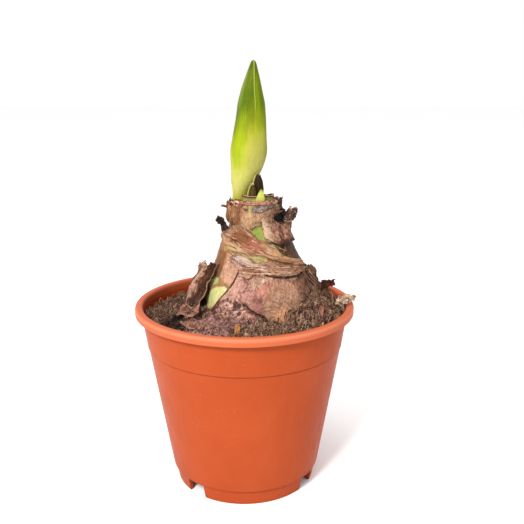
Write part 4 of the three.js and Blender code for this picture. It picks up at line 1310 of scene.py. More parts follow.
def lower_front_lift(u, v, azimuth, height):
    below = lower_crease(azimuth) - height
    soft_left = smooth(-azimuth, 19, 24)
    fold = lerp(smooth(below, 0, 1.6), smooth(below, -4, 6), soft_left)
    fold = fold * fall(azimuth, 4, 12) * ((azimuth < 12) & (azimuth > -62))
    groove = 0.7 * hill(below, 1.1) * hill(azimuth + 6, 12)
    uneven = 0.35 * lumps_round(azimuth, 34, height, 9, 0.7)
    base = 1 - 0.45 * smooth(azimuth, 50, 72)
    return base + 1.1 * fold - groove * 0.5 + uneven * (0.3 + fold) + 0.7 * hill(u, 0.02)


lower_front_point, lower_front_where = over_bulb(
    curve([(0, -64), (0.2, -54), (0.38, -46.5), (0.54, -39.5), (0.67, -34.5), (0.85, -29.5), (1, -26)]),
    lambda v: 108,
    curve([(-66, 99), (-40, 101), (0, 103.5), (30, 105), (60, 109), (108, 112)]),
    curve([(-66, 133), (-27, 135.2), (10, 134.8), (44, 133.6), (60, 132.4), (108, 131)]),
    lower_front_lift)

# The dry fibres over the dome of the lower front run in arcs round this azimuth and height.
ARC_CENTRE = (7.0, 104.5)


def arc_distance(azimuth, height):
    return np.hypot((azimuth - ARC_CENTRE[0]) * 0.6, height - ARC_CENTRE[1])


def lower_front_relief(places, u, v):
    azimuth, height = lower_front_where(u, v)
    dome = over_outline(azimuth, height, "dome", 2.0)
    rough_skin = over_outline(azimuth, height, "rough_left", 1.0)
    from_centre = arc_distance(azimuth, height) + 0.9 * cloud(places, 6, 4)
    turn = np.arctan2((azimuth - ARC_CENTRE[0]) * 0.6, height - ARC_CENTRE[1])
    arcs = 0.22 * cloud_at(from_centre / 0.9, turn * 1.2, 0, 24)
    arcs = arcs + 0.14 * cloud_at(from_centre / 0.45, turn * 2.0, 5, 25)
    veins = 0.16 * veined(azimuth / 2.1, height / 16, 1, 6)
    crumbly = 0.75 * rough(places, 2.4, 4, 31, 0.65) + 0.5 * rough(places, 7, 2, 12)
    crease = rough(places, 4.5, 3, 41)
    calm = 0.3 * rough(places, 5, 3, 5) - 0.3 * creased(crease, 0.16)
    plain = veins * (1 - rough_skin) + calm
    return dome * (arcs + 0.1 * calm) + (1 - dome) * plain + rough_skin * crumbly


def lower_front_swell(u, v):
    """The deep crevice under the crease's overhanging edge."""
    azimuth, height = lower_front_where(u, v)
    below = lower_crease(azimuth) - height + 0.5 * cloud_at(azimuth / 3, 0, 2, 8)
    open_part = smooth(-azimuth, -9, -3) * smooth(azimuth, -26, -18)
    return (0.8 * hill(below + 0.9, 0.7) - 1.7 * hill(below - 0.5, 0.7)) * open_part


def lower_front_values(u, v):
    azimuth, height = lower_front_where(u, v)
    turn = np.arctan2((azimuth - ARC_CENTRE[0]) * 0.6, height - ARC_CENTRE[1])
    along_u = slopes(lower_front_point, u, v)[0]
    beyond = 30 * smooth(azimuth, 8, 14) + 6 * smooth(-azimuth, 17, 22)
    wavering = 1.1 * cloud_at(azimuth / 3.2, height / 5, 6, 17) + 0.3
    beside = 9 * fall(azimuth, 0, 8)
    return {
        "arc": stacked(arc_distance(azimuth, height), 0, 14 * turn),
        "left_edge": u * np.linalg.norm(along_u, axis=1),
        "crease": np.abs(lower_crease(azimuth) - height + wavering) + beyond,
        "under_middle": np.abs(middle_bottom(azimuth) - height - 0.2) + beside,
    }


def lower_front_look():
    look = Look("lower_scale", (220, 162, 138), 0.62)
    look.blotches((176, 118, 100), 6.0, 0.5, 0.4)
    look.streaks((176, 124, 104), 1.1, 0.45, 0.05, 1.5, (136, 88, 74), 0.5)
    look.mark("pink_upper", (226, 176, 152), 0.8, 0.9, 0.8)
    look.mark("mauve", (214, 158, 142), 1.0, 1.8, 0.6)
    look.mark("rough_left", (240, 180, 158), 0.7, 0.5, 0.9)
    crusted = look.inside("rough_left", 0.7, 0.5)
    # On the crust: pale grains, dark patches, painted shade in the creases of the relief and small painted
    # glints.
    creases = ranged(look.value("raised"), -0.05, -0.3)
    for mask, paint in ((look.dots(0.9, 0.6), (236, 200, 186)), (look.patches(2.4, 0.75), (92, 54, 50)),
                        (creases, (52, 28, 28)), (look.dots(0.55, 0.52), (255, 236, 226))):
        look.over(times(crusted, mask), paint, 0.6)
    look.mark("dome_rim", (196, 132, 114), 1.0, 2.2, 0.7)
    look.mark("dome", (250, 180, 134), 1.0, 2.6, 0.95)
    inside = look.inside("dome", 1.0, 2.6)
    look.streaks((208, 124, 78), 1.5, 0.65, 0.04, 1.0, (130, 66, 46), 0.6, "arc", inside)
    look.streaks((255, 232, 200), 2.3, 0.6, 0.04, 1.0, None, 0.4, "arc", inside)
    look.over(times(inside, look.patches(2.6)), (206, 132, 108), 0.5)
    # The dome's pale tan foot, painted brighter than white as a painted highlight.
    look.mark("dome_foot", (290, 214, 156), 0.8, 2.6, 0.9)
    look.mark("dome_shade", (146, 92, 92), 1.0, 2.0, 0.6)
    look.mark("plum_flank", (94, 46, 40), 0.9, 1.6, 0.88)
    flank = look.inside("plum_flank", 0.9, 1.3)
    look.streaks((150, 96, 74), 1.3, 0.5, 0.06, 2.0, None, 0.5, "fibre", flank)
    look.streaks((58, 28, 30), 0.8, 0.5, 0.08, 2.0, None, 0.5, "fibre", flank)
    look.streaks((214, 150, 112), 1.3, 0.5, 0.05, 2.0, (232, 182, 146), 0.5, "fibre", flank)
    look.mark("dome_collar", (222, 182, 150), 0.5, 0.5, 0.75)
    # Painted shade in the crevice under the crease: a broken dark band beside it and near black along it.
    crease = look.value("crease")
    look.over(times(ranged(crease, 3.4, 0.8), look.patches(2.0)), (84, 46, 40), 0.75)
    look.over(ranged(crease, 1.0, 0.4), (34, 16, 14), 0.85)
    # A painted shadow line just under the middle scale's free lower edge.
    look.over(ranged(look.value("under_middle"), 1.0, 0.4), (60, 32, 26), 0.8)
    red = mixed(ranged(part(look.place, "Z"), 112.0, 124.0), (178, 30, 48), (96, 34, 28))
    look.over(falling(look.value("left_edge"), 0.8, 1.3), red, 0.9)
    look.weathered(0.5, 1.0, 0.7)
    look.relief_highlight_and_shade(0.45, 0.7)
    look.specks((84, 50, 42), 0.8, 0.38, 0.7)
    look.specks((244, 214, 194), 1.2, 0.34, 0.55)
    return look.done(0.5, (1.1, 0.6))


def make_lower_front():
    sheet_piece("lower_scale", (lower_front_look(), "scale_pink", ("scale_lower_front",)),
                lower_front_point, (280, 90), (0.2, 0, 0, 0.6), lower_front_relief, lower_front_swell,
                lower_front_where, lower_front_values, seed=2)


middle_bottom = curve([
    (-44, 138.6), (-30, 136), (-21, 131.6), (-12.7, 129.6), (-3.8, 132.8), (9.7, 132.4), (20.6, 131.1),
    (35.3, 130.3), (46.5, 130.5), (56, 131.4), (70, 132.2)])


def middle_lift(u, v, azimuth, height):
    free = fall(v, 0, 0.6) * 1.1 * hill(azimuth - 28, 26)
    uneven = 0.3 * lumps_round(azimuth, 26, height, 8, 3.3)
    return np.maximum(2.4, 2.6 - 0.4 * v + free + uneven)


middle_point, middle_where = over_bulb(
    lambda v: -44, lambda v: 70, middle_bottom,
    curve([(-44, 142), (-30, 143.6), (-17, 142.4), (-3, 139.4), (13, 139.6), (25, 138), (41, 136.8),
           (53, 134.4), (70, 133)]),
    middle_lift)


def middle_look():
    look = Look("middle_scale", (232, 178, 150), 0.7)
    look.blotches((186, 128, 102), 3.0, 0.5, 0.5)
    look.mark("middle_lilac", (206, 164, 160), 0.9, 1.0, 0.6)
    look.mark("middle_white", (252, 228, 212), 0.8, 0.7, 0.85)
    look.mark("middle_amber", (212, 138, 48), 0.8, 0.9, 0.88)
    look.streaks((176, 112, 84), 0.9, 0.3, 0.25, 3.5, (110, 64, 46), 0.4)
    look.streaks((255, 224, 198), 1.6, 0.3, 0.2, 3.0, None, 0.4)
    look.edge((214, 158, 130), 0.9, 0.8, 0.7)
    look.weathered(0.6, 1.3)
    # A small pit painted near black, as painted shade.
    look.mark("middle_pit", (52, 30, 26), 0.5, 0.6, 0.9)
    look.relief_highlight_and_shade(0.6, 0.6)
    look.specks((78, 48, 40), 0.8, 0.38, 0.65)
    return look.done(0.5, (0.9, 1.0))


def middle_relief(places, u, v):
    folded = 0.1 + papery(38, 9, 0.08, 1.0, 0.4, 3.2, 0.35, 14)(places, v, u)
    return folded * (1 - 0.6 * smooth(v, 0.75, 1))


def make_middle():
    folds = crumpled(38, 9, 0.6, 3.0, 15)
    sheet_piece("middle_scale", (middle_look(), "scale_pale", ("scale_middle",)), middle_point, (240, 70),
                (0.8, 0.5, 1.1, 0.8), middle_relief,
                lambda u, v: folds(u, v) - 1.9 * smooth(v, 0.5, 1) - 1.7 * fall(u, 0, 0.2),
                middle_where, fibres_along="u", seed=14)


def wrap_lift(u, v, azimuth, height):
    belly = 0.9 * np.sin(math.pi * np.clip(v, 0, 1))
    uneven = 0.12 * lumps_round(azimuth, 20, height, 7, 1.9)
    return 0.45 + belly + 0.5 * fall(v, 0, 0.3) + uneven


wrap_bottom = curve([
    (-128, 148.5), (-74, 149.6), (-55, 147.6), (-35, 146.7), (-18, 144.3), (-7, 143.4), (6, 143.2),
    (14, 142), (25, 139.9), (41, 138.2), (53, 136.2), (72, 134.6)])
wrap_top = curve([
    (-128, 154), (-68, 155.6), (-31.5, 156.3), (-11.6, 154.9), (3.5, 151.6), (14.3, 150), (27, 147.6),
    (36, 143.2), (50, 140.4), (72, 137.6)])
wrap_point, wrap_where = over_bulb(lambda v: -128, lambda v: 72, wrap_bottom, wrap_top, wrap_lift)


def wrap_relief(places, u, v):
    along = u * 70
    across = v * 8 + 0.5 * cloud_at(along / 12, v * 2, 1, 3)
    ridges = 0.12 * veined(across / 0.6, along / 16, 4, 9)
    crease = rough(stacked(across / 1.6, along / 20, 8), 1.0, 2, 29)
    relief = ridges + 0.2 * rough(places, 5, 3, 19) - 0.3 * creased(crease, 0.2)
    return relief * (1 - 0.7 * smooth(v, 0.8, 1))


def wrap_values(u, v):
    return {"low_edge": v * np.linalg.norm(slopes(wrap_point, u, v)[1], axis=1)}


def wrap_look():
    look = Look("wrapping_scale", (200, 142, 102), 0.36)
    look.blotches((166, 108, 72), 7.0, 0.7, 0.4)
    look.streaks((158, 96, 62), 1.8, 0.4, 0.03, 1.0, (108, 60, 42), 0.35)
    look.streaks((240, 196, 158), 2.8, 0.4, 0.03, 1.0, (246, 208, 176), 0.4)
    look.mark("wrap_tan", (228, 182, 142), 0.9, 1.4, 0.7)
    # The wrap's upper left: dark brown skin, painted darker still as shade.
    look.mark("wrap_dark", (108, 52, 16), 0.8, 1.3, 0.85)
    look.mark("wrap_red", (184, 88, 58), 1.1, 2.0, 0.6)
    look.mark("wrap_amber", (206, 148, 92), 0.8, 1.4, 0.5)
    # Painted sheen: pale streaks over the wrap's dark upper left, with dark threads.
    shine = look.inside("wrap_dark", 0.8, 1.3)
    look.streaks((226, 150, 96), 2.4, 0.35, 0.03, 1.0, (84, 44, 28), 0.4, "fibre", shine)
    reddish = look.inside("wrap_red", 1.1, 2.0)
    look.streaks((152, 70, 46), 2.2, 0.5, 0.03, 1.0, (240, 186, 160), 0.4, "fibre", reddish)
    look.weathered(0.45)
    low_edge = look.value("low_edge")
    look.over(falling(low_edge, 0.8, 2.0), (206, 162, 116), 0.7)
    look.over(falling(low_edge, 0.3, 0.7), (216, 120, 96), 0.65)
    look.relief_highlight_and_shade(0.3, 0.65)
    look.specks((84, 50, 38), 0.8, 0.34, 0.6)
    return look.done(0.4, (0.9, 0.3))


def make_wrap():
    sheet_piece("wrapping_scale", (wrap_look(), "scale_red", ("scale_wrap",)), wrap_point, (240, 40),
                (0.8, 0.8, 0.2, 0.3), wrap_relief, lambda u, v: -0.72 * smooth(v, 0.72, 1), wrap_where,
                wrap_values, "u", seed=5)


# The neck

ring_top = curve([
    (-180, 170.6), (-120, 170.2), (-80, 170.4), (-45, 172), (-20, RING_TOP), (40, RING_TOP), (62, 171.6),
    (80, 172.4), (100, 170.8), (140, 171.2), (180, 170.6)])
ring_bottom = curve([
    (-180, 158), (-60, 159), (-36, 158.9), (-16, 156.8), (6, 158.9), (60, 159), (180, 158)])
RING_INNER = 0.75
RING_OUTER = 1.95

# The sleeve goes up on its outside, over its cut edge and down on its inside: shares of v.
RING_ROWS = (0, 0.6, 0.68, 0.96, 1)


def ring_where(u, v):
    azimuth = 360 * u - 180
    share = np.interp(v, RING_ROWS, (0, 1, 1, 0, 0))
    return azimuth, lerp(ring_bottom(azimuth), ring_top(azimuth), share)


def ring_point(u, v):
    azimuth, height = ring_where(u, v)
    lift = np.interp(v, RING_ROWS, (RING_OUTER, RING_OUTER, RING_INNER, RING_INNER, RING_OUTER))
    outside = smooth(lift, RING_INNER, RING_OUTER)
    lift = lift - outside * fall(height - ring_bottom(azimuth), 0, 2.6)
    flare = 0.7 * smooth(height, 165, 172)
    scar = -0.45 * hill(height - 168.8, 1.1) * hill(azimuth - 25, 22) * outside
    top = smooth(height - ring_top(azimuth), -1.2, 0)
    edge = top * (0.3 * np.sin(np.radians(azimuth * 7)) + 0.3 * cloud_at(azimuth / 5, 0, 3, 6) - 0.1)
    crinkle = 1.1 * hill(azimuth - 68, 8) * hill(height - 169, 2.5) * outside
    return skin(azimuth, height, lift + flare + scar + crinkle) + stacked(0, 0, edge)


def ring_relief(places, u, v):
    azimuth, height = ring_where(u, v)
    veins = 0.08 * veined(azimuth / 3.6, height / 12, 2, 13)
    crease = rough(stacked(azimuth / 9, height / 5, 2), 1.0, 3, 33)
    uneven = 0.24 * rough(places, 3.5, 4, 27) - 0.3 * creased(crease, 0.16)
    crinkled = over_outline(azimuth, height, "ring_crinkle", 1.0)
    scar = over_outline(azimuth, height, "scar", 0.4)
    return veins + uneven + 0.7 * crinkled * rough(places, 2.0, 2, 8) - 0.3 * scar


def ring_look():
    look = Look("neck_skin", (196, 158, 120), 0.55)
    look.blotches((158, 112, 80), 5.0, 0.6, 0.4)
    look.mark("ring_left", (148, 92, 60), 1.0, 1.2, 0.75)
    look.streaks((184, 138, 102), 1.0, 0.5, 0.05, 1.0, (150, 104, 74), 0.3)
    look.weathered(0.4, 0.8, 0.4)
    look.mark("ring_left", (136, 78, 52), 1.6, 1.2, 0.55)
    height = part(look.place, "Z")
    lip = plus(drift(look.place, 2.2, 0.3), 170.9)
    look.over(falling(maths("ABSOLUTE", minus(height, lip)), 0.15, 0.45), (96, 48, 38), 0.85)
    look.over(ranged(height, 171.0, 171.5), (196, 136, 112), 0.6)
    rim_streaks = noise(stretched(look.place, 0.5, 3.0), 1.0, 4.0, 0.7)
    rim_streaks = times(ranged(rim_streaks, 0.5, 0.56), ranged(height, 170.8, 171.4))
    look.over(rim_streaks, (112, 56, 44), 0.8)
    look.mark("ring_green", (168, 172, 104), 0.3, 0.4, 0.8)
    look.mark("ring_dark", (66, 42, 32), 0.3, 0.4, 0.85)
    look.mark("ring_crinkle", (46, 32, 30), 0.8, 0.8, 0.9, 0.6)
    look.mark("scar_shadow", (50, 34, 30), 0.15, 0.25, 0.85)
    look.mark("scar", (168, 140, 134), 0.2, 0.25, 0.95, -0.8)
    scarred = look.inside("scar", 0.2, 0.25)
    for size, paint, offset in ((1.3, (72, 56, 60), 0.0), (0.9, (232, 214, 204), 9.0)):
        look.over(times(scarred, look.patches(size, 0.7, offset)), paint, 0.7)
    look.relief_highlight_and_shade(0.3, 0.6)
    look.specks((92, 58, 44), 0.7, 0.38, 0.65)
    look.specks((236, 204, 170), 1.0, 0.28, 0.45)
    return look.done(0.35, (1.0, 0.4))


def make_ring():
    tube_piece("neck_sleeve", (ring_look(), "neck_tan", ("neck_ring",)), ring_point, (220, 90), ring_relief,
               where=ring_where, fibre_radius=15.0)


def make_rim_shreds(name, count, seed, spans, rise, look):
    """Torn shreds of skin that stand up round the cut edge of the outer sleeve."""
    draw = np.random.default_rng(seed)
    steps = 6
    span = np.array(spans)[draw.integers(len(spans), size=count)]
    azimuth = draw.uniform(span[:, 0], span[:, 1])
    share = np.linspace(0, 1, steps)[None]
    length = draw.uniform(0.35, 1, count)[:, None] * rise
    wander = draw.normal(0, 7, (count, 1)) * share + draw.normal(0, 1.2, (count, steps))
    lean = draw.uniform(-0.9, 0.8, (count, 1)) * share ** 2
    height = ring_top(azimuth)[:, None] - draw.uniform(0.5, 2.6, (count, 1)) + share * length
    lift = draw.uniform(RING_INNER + 0.3, RING_OUTER + 0.9, (count, 1)) + lean * length * 0.6
    paths = skin(azimuth[:, None] + wander, height, lift)
    out = stacked(np.sin(np.radians(azimuth)), -np.cos(np.radians(azimuth)), 0)[:, None]
    radii = draw.uniform(0.14, 0.3, count)
    tones = draw.uniform(size=count)
    make_threads(name, paths, radii, look, "neck_tan", tones, 3.2, out, ("neck_ring",))


def layer_point(radius, top, turned):
    """A thin cut leaf base inside the outer sleeve: an upright wall that goes nearly round."""
    def point(u, v):
        azimuth = lerp(-150, 190, u) + turned
        wave = 0.22 * np.sin(np.radians(azimuth * 3 + 40 * turned))
        height = lerp(NECK_TOP + 0.3, top + 0.25 * np.sin(np.radians(azimuth * 5)), v)
        return around(6.9, 0.8, azimuth, radius + wave, height)

    return point


def make_neck_layers():
    """Fine layers between the outer sleeve and the green inner one."""
    look = layer_look()
    for number, (radius, top, turned) in enumerate(((11.0, 172.6, 0), (11.9, 172.9, 25))):
        sheet_piece(f"neck_layer_{number + 1}", (look, "neck_tan"), layer_point(radius, top, turned),
                    (150, 16), (0, 0, 0, 0.5), papery(66, 5, 0.05, 1.2, 0.08, 4, 0.0, 40 + number),
                    thickness=0.32, outer=0.32, seed=40 + number)


def layer_look():
    look = Look("inner_layers", (182, 134, 100), 0.6)
    look.streaks((140, 100, 64), 1.2, 0.6, 0.05, 1.0, (110, 72, 46), 0.4)
    look.edge((104, 58, 44), 0.5, 0.3, 0.8)
    look.weathered(0.6)
    return look.done(0.25, (0.8, 0.4))


def inner_collar_point(u, v):
    azimuth = lerp(-64, 212, u)
    radius = COLLAR_RADIUS - COLLAR_WALL + 0.12 * np.sin(np.radians(azimuth * 3))
    rim = COLLAR_TOP + 0.25 * np.sin(np.radians(azimuth * 4))
    rim = rim + 0.7 * hill(azimuth - 10, 70) - 0.9 * smooth(azimuth, 100, 150)
    return around(7.6, 0.5, azimuth, radius, lerp(NECK_TOP + 0.4, rim, v))


def collar_look():
    look = Look("green_collar", (208, 206, 110), 0.45)
    look.blotches((120, 130, 64), 4.0, 0.6, 0.4)
    look.streaks((134, 142, 76), 1.6, 0.4, 0.04, 0.6, (104, 112, 56), 0.4)
    below = plus(minus(1.0, look.value("to_rim")), drift(look.place, 0.1, 0.5))
    look.over(ranged(below, 0.24, 0.16), (140, 116, 66), 0.8)
    look.over(ranged(below, 0.15, 0.11), (98, 50, 36), 0.95)
    look.over(ranged(below, 0.05, 0.03), (224, 178, 140), 0.9)
    look.specks((84, 58, 36), 0.6, 0.4, 0.6)
    return look.done(0.2, (0.7, 0.3))


def make_collar():
    sheet_piece("green_collar", (collar_look(), "collar_green", ("inner_collar",), 40), inner_collar_point,
                (160, 60), (0.3, 0.3, 0, 0.5), papery(46, 8, 0.06, 1.4, 0.06, 5, 0.0, 50),
                more=lambda u, v: {"to_rim": v}, thickness=1.0, outer=COLLAR_WALL, seed=50)


def neck_left_lift(u, v, azimuth, height):
    frill = 0.35 * np.sin(np.radians(azimuth * 5)) * v
    return 2.5 + 0.6 * v + frill + 0.25 * lumps(azimuth / 4, 0, height, 8, 1)


neck_left_point = over_bulb(
    lambda v: -112, lambda v: -33,
    curve([(-112, 160), (-80, 158.6), (-50, 158.2), (-33, 160)]),
    curve([(-112, 168.5), (-92, 171.4), (-78, 170.2), (-64, 172), (-48, 170.2), (-33, 167.5)]),
    neck_left_lift)[0]


def blade(origin, along, across):
    """A flat frame: an origin, a long direction and a width direction."""
    start, long, wide = (np.array(values, float) for values in (origin, along, across))
    up = unit(np.cross(long, wide))

    def place(a, b, c):
        return start + np.multiply.outer(a, long) + np.multiply.outer(b, wide) + np.multiply.outer(c, up)

    return place


def small_horn_point(u, v):
    place = blade((-8.3, -6.8, 167.4), (-4.8, 0.6, 1.6), (0.25, -0.5, 0.83))
    return place(u, (v - 0.5) * lerp(2.6, 1.6, u), 0.9 * np.sin(math.pi * u))


def neck_left_look():
    look = Look("neck_scale", (168, 112, 72), 0.5)
    look.blotches((132, 82, 52), 5.0, 0.6, 0.5)
    look.streaks((140, 86, 54), 1.3, 0.55, 0.05, 1.4, (88, 50, 34), 0.7)
    look.streaks((206, 164, 126), 2.2, 0.35, 0.04, 1.0, None, 0.3)
    look.weathered(0.6)
    look.relief_highlight_and_shade(0.35, 0.7)
    look.specks((76, 48, 38), 0.8, 0.36, 0.6)
    return look.done(0.4, (0.9, 0.5))


def make_neck_left():
    finish = (neck_left_look(), "scale_brown", ("neck_scale_left",))
    sheet_piece("neck_scale", finish, neck_left_point, (130, 56), (0.7, 2.4, 0.4, 1.6),
                papery(22, 11, 0.24, 0.9, 0.35, 3.5, 0.08, 60),
                lambda u, v: -1.35 * smooth(u, 0.6, 0.9) - 0.8 * fall(v, 0, 0.25), seed=60)
    sheet_piece("neck_scale_shred", finish, small_horn_point, (24, 14), (0, 0.7, 0.3, 0.3),
                papery(5, 2, 0.06, 0.6, 0.12, 2, 0.0, 61), fibres_along="u", seed=61)


def make_strands(name, count, seed, azimuths, heights, turn, drop, lift, thickness, look, slot, node):
    """Torn fibres and narrow strips of skin that lie on the bulb and drift along it."""
    draw = np.random.default_rng(seed)
    steps = 8
    share = np.linspace(0, 1, steps)[None] * draw.uniform(0.3, 1, (count, 1))
    sway = np.cumsum(draw.normal(0, 0.12, (count, steps)), axis=1)
    azimuth = draw.uniform(*azimuths, (count, 1)) + turn * (share + 0.5 * sway)
    height = draw.uniform(*heights, (count, 1)) + drop * (share + 0.3 * sway)
    raised = draw.uniform(*lift, (count, 1)) + draw.uniform(0, 0.7, (count, 1)) * share ** 2
    paths = skin(azimuth, height, raised)
    middle = np.radians(np.mean(azimuths))
    facing = (math.sin(middle), -math.cos(middle), 0.5)
    radii = draw.uniform(*thickness, count)
    make_threads(name, paths, radii, look, slot, draw.uniform(size=count), 2.2, facing, (node,))


def make_all_strands():
    """The torn fibres on the right shoulder, the middle scale, the flank, the wrap and the neck's base."""
    plum = thread_look("plum_strands", (58, 26, 24), (136, 84, 62), (222, 176, 134))
    tan = thread_look("tan_strands", (112, 62, 44), (180, 126, 92), (232, 192, 158))
    bright = thread_look("bright_strands", (120, 66, 46), (206, 152, 114), (255, 226, 196))
    make_strands("shoulder_strands", 110, 61, (54, 86), (121, 132.5), 13, -10, (2.3, 3.4), (0.08, 0.22),
                 plum, "scale_dark", "torn_scale_right")
    make_strands("middle_strands", 120, 62, (-28, 58), (131.6, 137.4), 12, -0.9, (3.5, 4.5), (0.06, 0.16),
                 tan, "scale_pale", "scale_middle")
    make_strands("flank_strands", 14, 63, (36, 76), (140, 150), -9, -5, (0.2, 0.7), (0.05, 0.1), tan,
                 "bulb_skin", "bulb")
    make_strands("wrap_strands", 90, 64, (-52, 34), (142, 153), 13, -2.4, (1.6, 2.2), (0.045, 0.1), bright,
                 "scale_red", "scale_wrap")
    make_strands("base_strands", 60, 65, (-70, -8), (154, 158.4), 12, -2.4, (0.9, 1.5), (0.04, 0.09), tan,
                 "bulb_skin", "bulb")


# Flaps and loose pieces

curled_bottom = curve([
    (13, 152.4), (22, 149.6), (34, 147.8), (60, 147.6), (74, 148.2), (88, 150), (100, 151.6), (118, 153)])
curled_top = curve([(13, 161), (22, 163), (38, 166), (60, 166.4), (86, 165.5), (118, 163.5)])
curled_stand = curve([(13, 2.2), (20, 3.2), (34, 4.4), (60, 5), (84, 4.3), (100, 3.0), (118, 2.3)])


def curled_where(u, v):
    azimuth = lerp(13, 118, u)
    return azimuth, lerp(curled_bottom(azimuth), curled_top(azimuth), v)


def curled_flap_point(u, v):
    azimuth, height = curled_where(u, v)
    inward = smooth(v, 0.68, 1) * 0.62
    waves = 0.35 * np.sin(np.radians(azimuth) * 9 + 5 * v)
    bulge = 0.9 * np.sin(math.pi * np.clip(v, 0, 1))
    close_below = smooth(azimuth, 45, 80) * fall(v, 0.05, 0.55)
    stand = lerp(curled_stand(azimuth), 2.1, inward)
    lift = lerp(stand, 0.9, close_below) + bulge * (1 - close_below)
    least = lerp(2.25, 1, 1 - smooth(height, 155, 157.5))
    return skin(azimuth, height, np.maximum(least, lift + waves))


def horn_point(u, v):
    roll = np.radians(lerp(-150, 165, u))
    radius = (2.5 - 0.2 * v + 0.25 * np.sin(7 * v)) * (1 - 0.4 * smooth(v, 0.6, 1))
    height = lerp(160.6, 168.4 + 0.3 * np.sin(2 * roll), v)
    return stacked(25.8 + 2.6 * v + radius * np.sin(roll), -5.2 + 0.6 * v - radius * np.cos(roll), height)


def curled_look():
    look = Look("curled_flap", (214, 154, 126), 0.55)
    look.blotches((172, 108, 84), 4.0, 0.6, 0.4)
    look.streaks((176, 110, 82), 1.2, 0.4, 0.35, 4.5, (128, 70, 52), 0.4)
    look.blotches((120, 62, 40), 2.3, 0.6, 0.7, 3.0)
    look.streaks((96, 52, 38), 1.1, 0.45, 0.45, 4.5, None, 0.4)
    look.streaks((250, 200, 164), 1.5, 0.4, 0.5, 5.0, None, 0.4)
    look.weathered(0.75, 1.3)
    look.relief_highlight_and_shade(0.5, 0.7)
    # A painted highlight, brighter than white, along the flap's left edge.
    look.mark("flap_pale", (276, 236, 192), 1.0, 2.0, 0.85)
    # Painted shade: the inside of the curled top painted dark, and its hollow near black.
    look.mark("flap_black", (84, 54, 44), 1.3, 1.2, 0.8, 0.5)
    look.mark("flap_hollow", (26, 20, 18), 0.9, 0.6, 0.95)
    look.specks((128, 106, 90), 1.0, 0.42, 0.6)
    look.specks((84, 50, 42), 1.0, 0.38, 0.6)
    look.specks((206, 158, 130), 1.0, 0.3, 0.5)
    # Painted shade along the flap's lower edge.
    look.mark("flap_under", (74, 38, 28), 0.7, 0.7, 0.8)
    return look.done(0.5, (1.0, 0.6))


def curled_relief(places, u, v):
    azimuth, height = curled_where(u, v)
    folded = papery(32, 17, 0.05, 1.0, 0.5, 3.2, 0.35, 70)(places, u, v)
    hollow = over_outline(azimuth, height, "flap_hollow", 1.2)
    return folded * (1 - 0.4 * hollow) - 0.3 * hollow


def curled_swell(u, v):
    azimuth, height = curled_where(u, v)
    hollow = over_outline(azimuth, height, "flap_hollow", 1.2)
    folds = crumpled(32, 17, 0.75, 4.0, 72)(u, v)
    rolled_foot = hill(v, 0.09) * fall(azimuth, 55, 80)
    return folds + rolled_foot + 0.7 * hill(u, 0.05) + 0.8 * hill(1 - v, 0.07) - 1.6 * hollow


def horn_look():
    look = Look("horn_skin", (96, 64, 50), 0.6)
    look.blotches((48, 34, 32), 2.5, 0.9, 0.5)
    look.weathered(0.7, 1.4)
    # Painted highlights: pale specks and pale edges.
    look.specks((232, 200, 176), 1.1, 0.46, 0.7)
    look.edge((226, 186, 156), 0.5, 0.5, 0.7)
    return look.done(0.4, (0.9, 0.6))


def make_curled_flap():
    sheet_piece("curled_flap", (curled_look(), "flap_orange", ("curled_flap_right",)), curled_flap_point,
                (170, 76), (1.0, 1.0, 0.9, 0.6), curled_relief, curled_swell, curled_where,
                thickness=0.5, outer=0.9, seed=70)
    sheet_piece("curled_flap_horn", (horn_look(), "flap_orange", ("curled_flap_right",)), horn_point,
                (80, 50), (0.3, 0.3, 0, 0.7), papery(14, 8, 0.15, 0.9, 0.5, 2.6, 0.1, 71),
                crumpled(14, 8, 0.5, 2.6, 71), thickness=0.7, outer=1.0, seed=71)


def black_flap_point(u, v):
    u = lerp(-0.3, 0.95, u)
    width = lerp(7.4, 4.6, u * u)
    place = blade((-11.6, -7.4, 157.2), (-4.2, 1.6, 6.2), (0.62, -0.1, 0.6))
    return place(u, (v - 0.5) * width + 0.5 * np.sin(5 * u) + 1.2 * u ** 3, 0.5 * np.sin(4 * u + 2 * v))


def dark_look(name, ground, light, dark):
    """Dark dry skin with paler fibres, and pale specks and edges that are painted highlights."""
    look = Look(name, ground, 0.62)
    look.blotches(dark, 4.0, 0.7, 0.4)
    look.streaks(dark, 1.2, 0.6, 0.06, 1.6, None, 0.5)
    look.streaks(light, 2.0, 0.3, 0.04, 1.2, light, 0.4)
    look.weathered(0.75, 1.3)
    look.relief_highlight_and_shade(0.45, 0.6)
    look.specks(dark, 0.9, 0.44, 0.7)
    # Painted highlights: pale specks and pale edges.
    look.specks(light, 0.8, 0.4, 0.6)
    look.edge(light, 0.25, 0.5, 0.6)
    return look


peeling_top = curve([
    (-128, 117), (-112, 125), (-100, 131), (-93, 134.2), (-87, 132.4), (-80, 137), (-75, 135.4),
    (-70, 138), (-50, 138)])
peeling_bottom = curve([(-128, 99), (-90, 100), (-50, 102)])


def peeling_point(u, v):
    azimuth = lerp(-128, lerp(-50, -70, v) + 9 * smooth(v, 0.7, 1), u)
    height = lerp(peeling_bottom(azimuth), peeling_top(azimuth), v)
    middle_stand = lerp(10.4, 6.6, v) * smooth(u, -0.1, 0.5)
    front_stand = lerp(8, 2.8, smooth(v, 0.1, 1))
    waves = 0.45 * np.sin(9 * u + 4 * v)
    stand = lerp(middle_stand, front_stand, smooth(u, 0.62, 1)) + waves + 1
    radius = bulb_radius(height) + bulb_relief(azimuth, height) + stand
    return around(bulb_axis_x(height), bulb_axis_y(height), azimuth, radius, height)


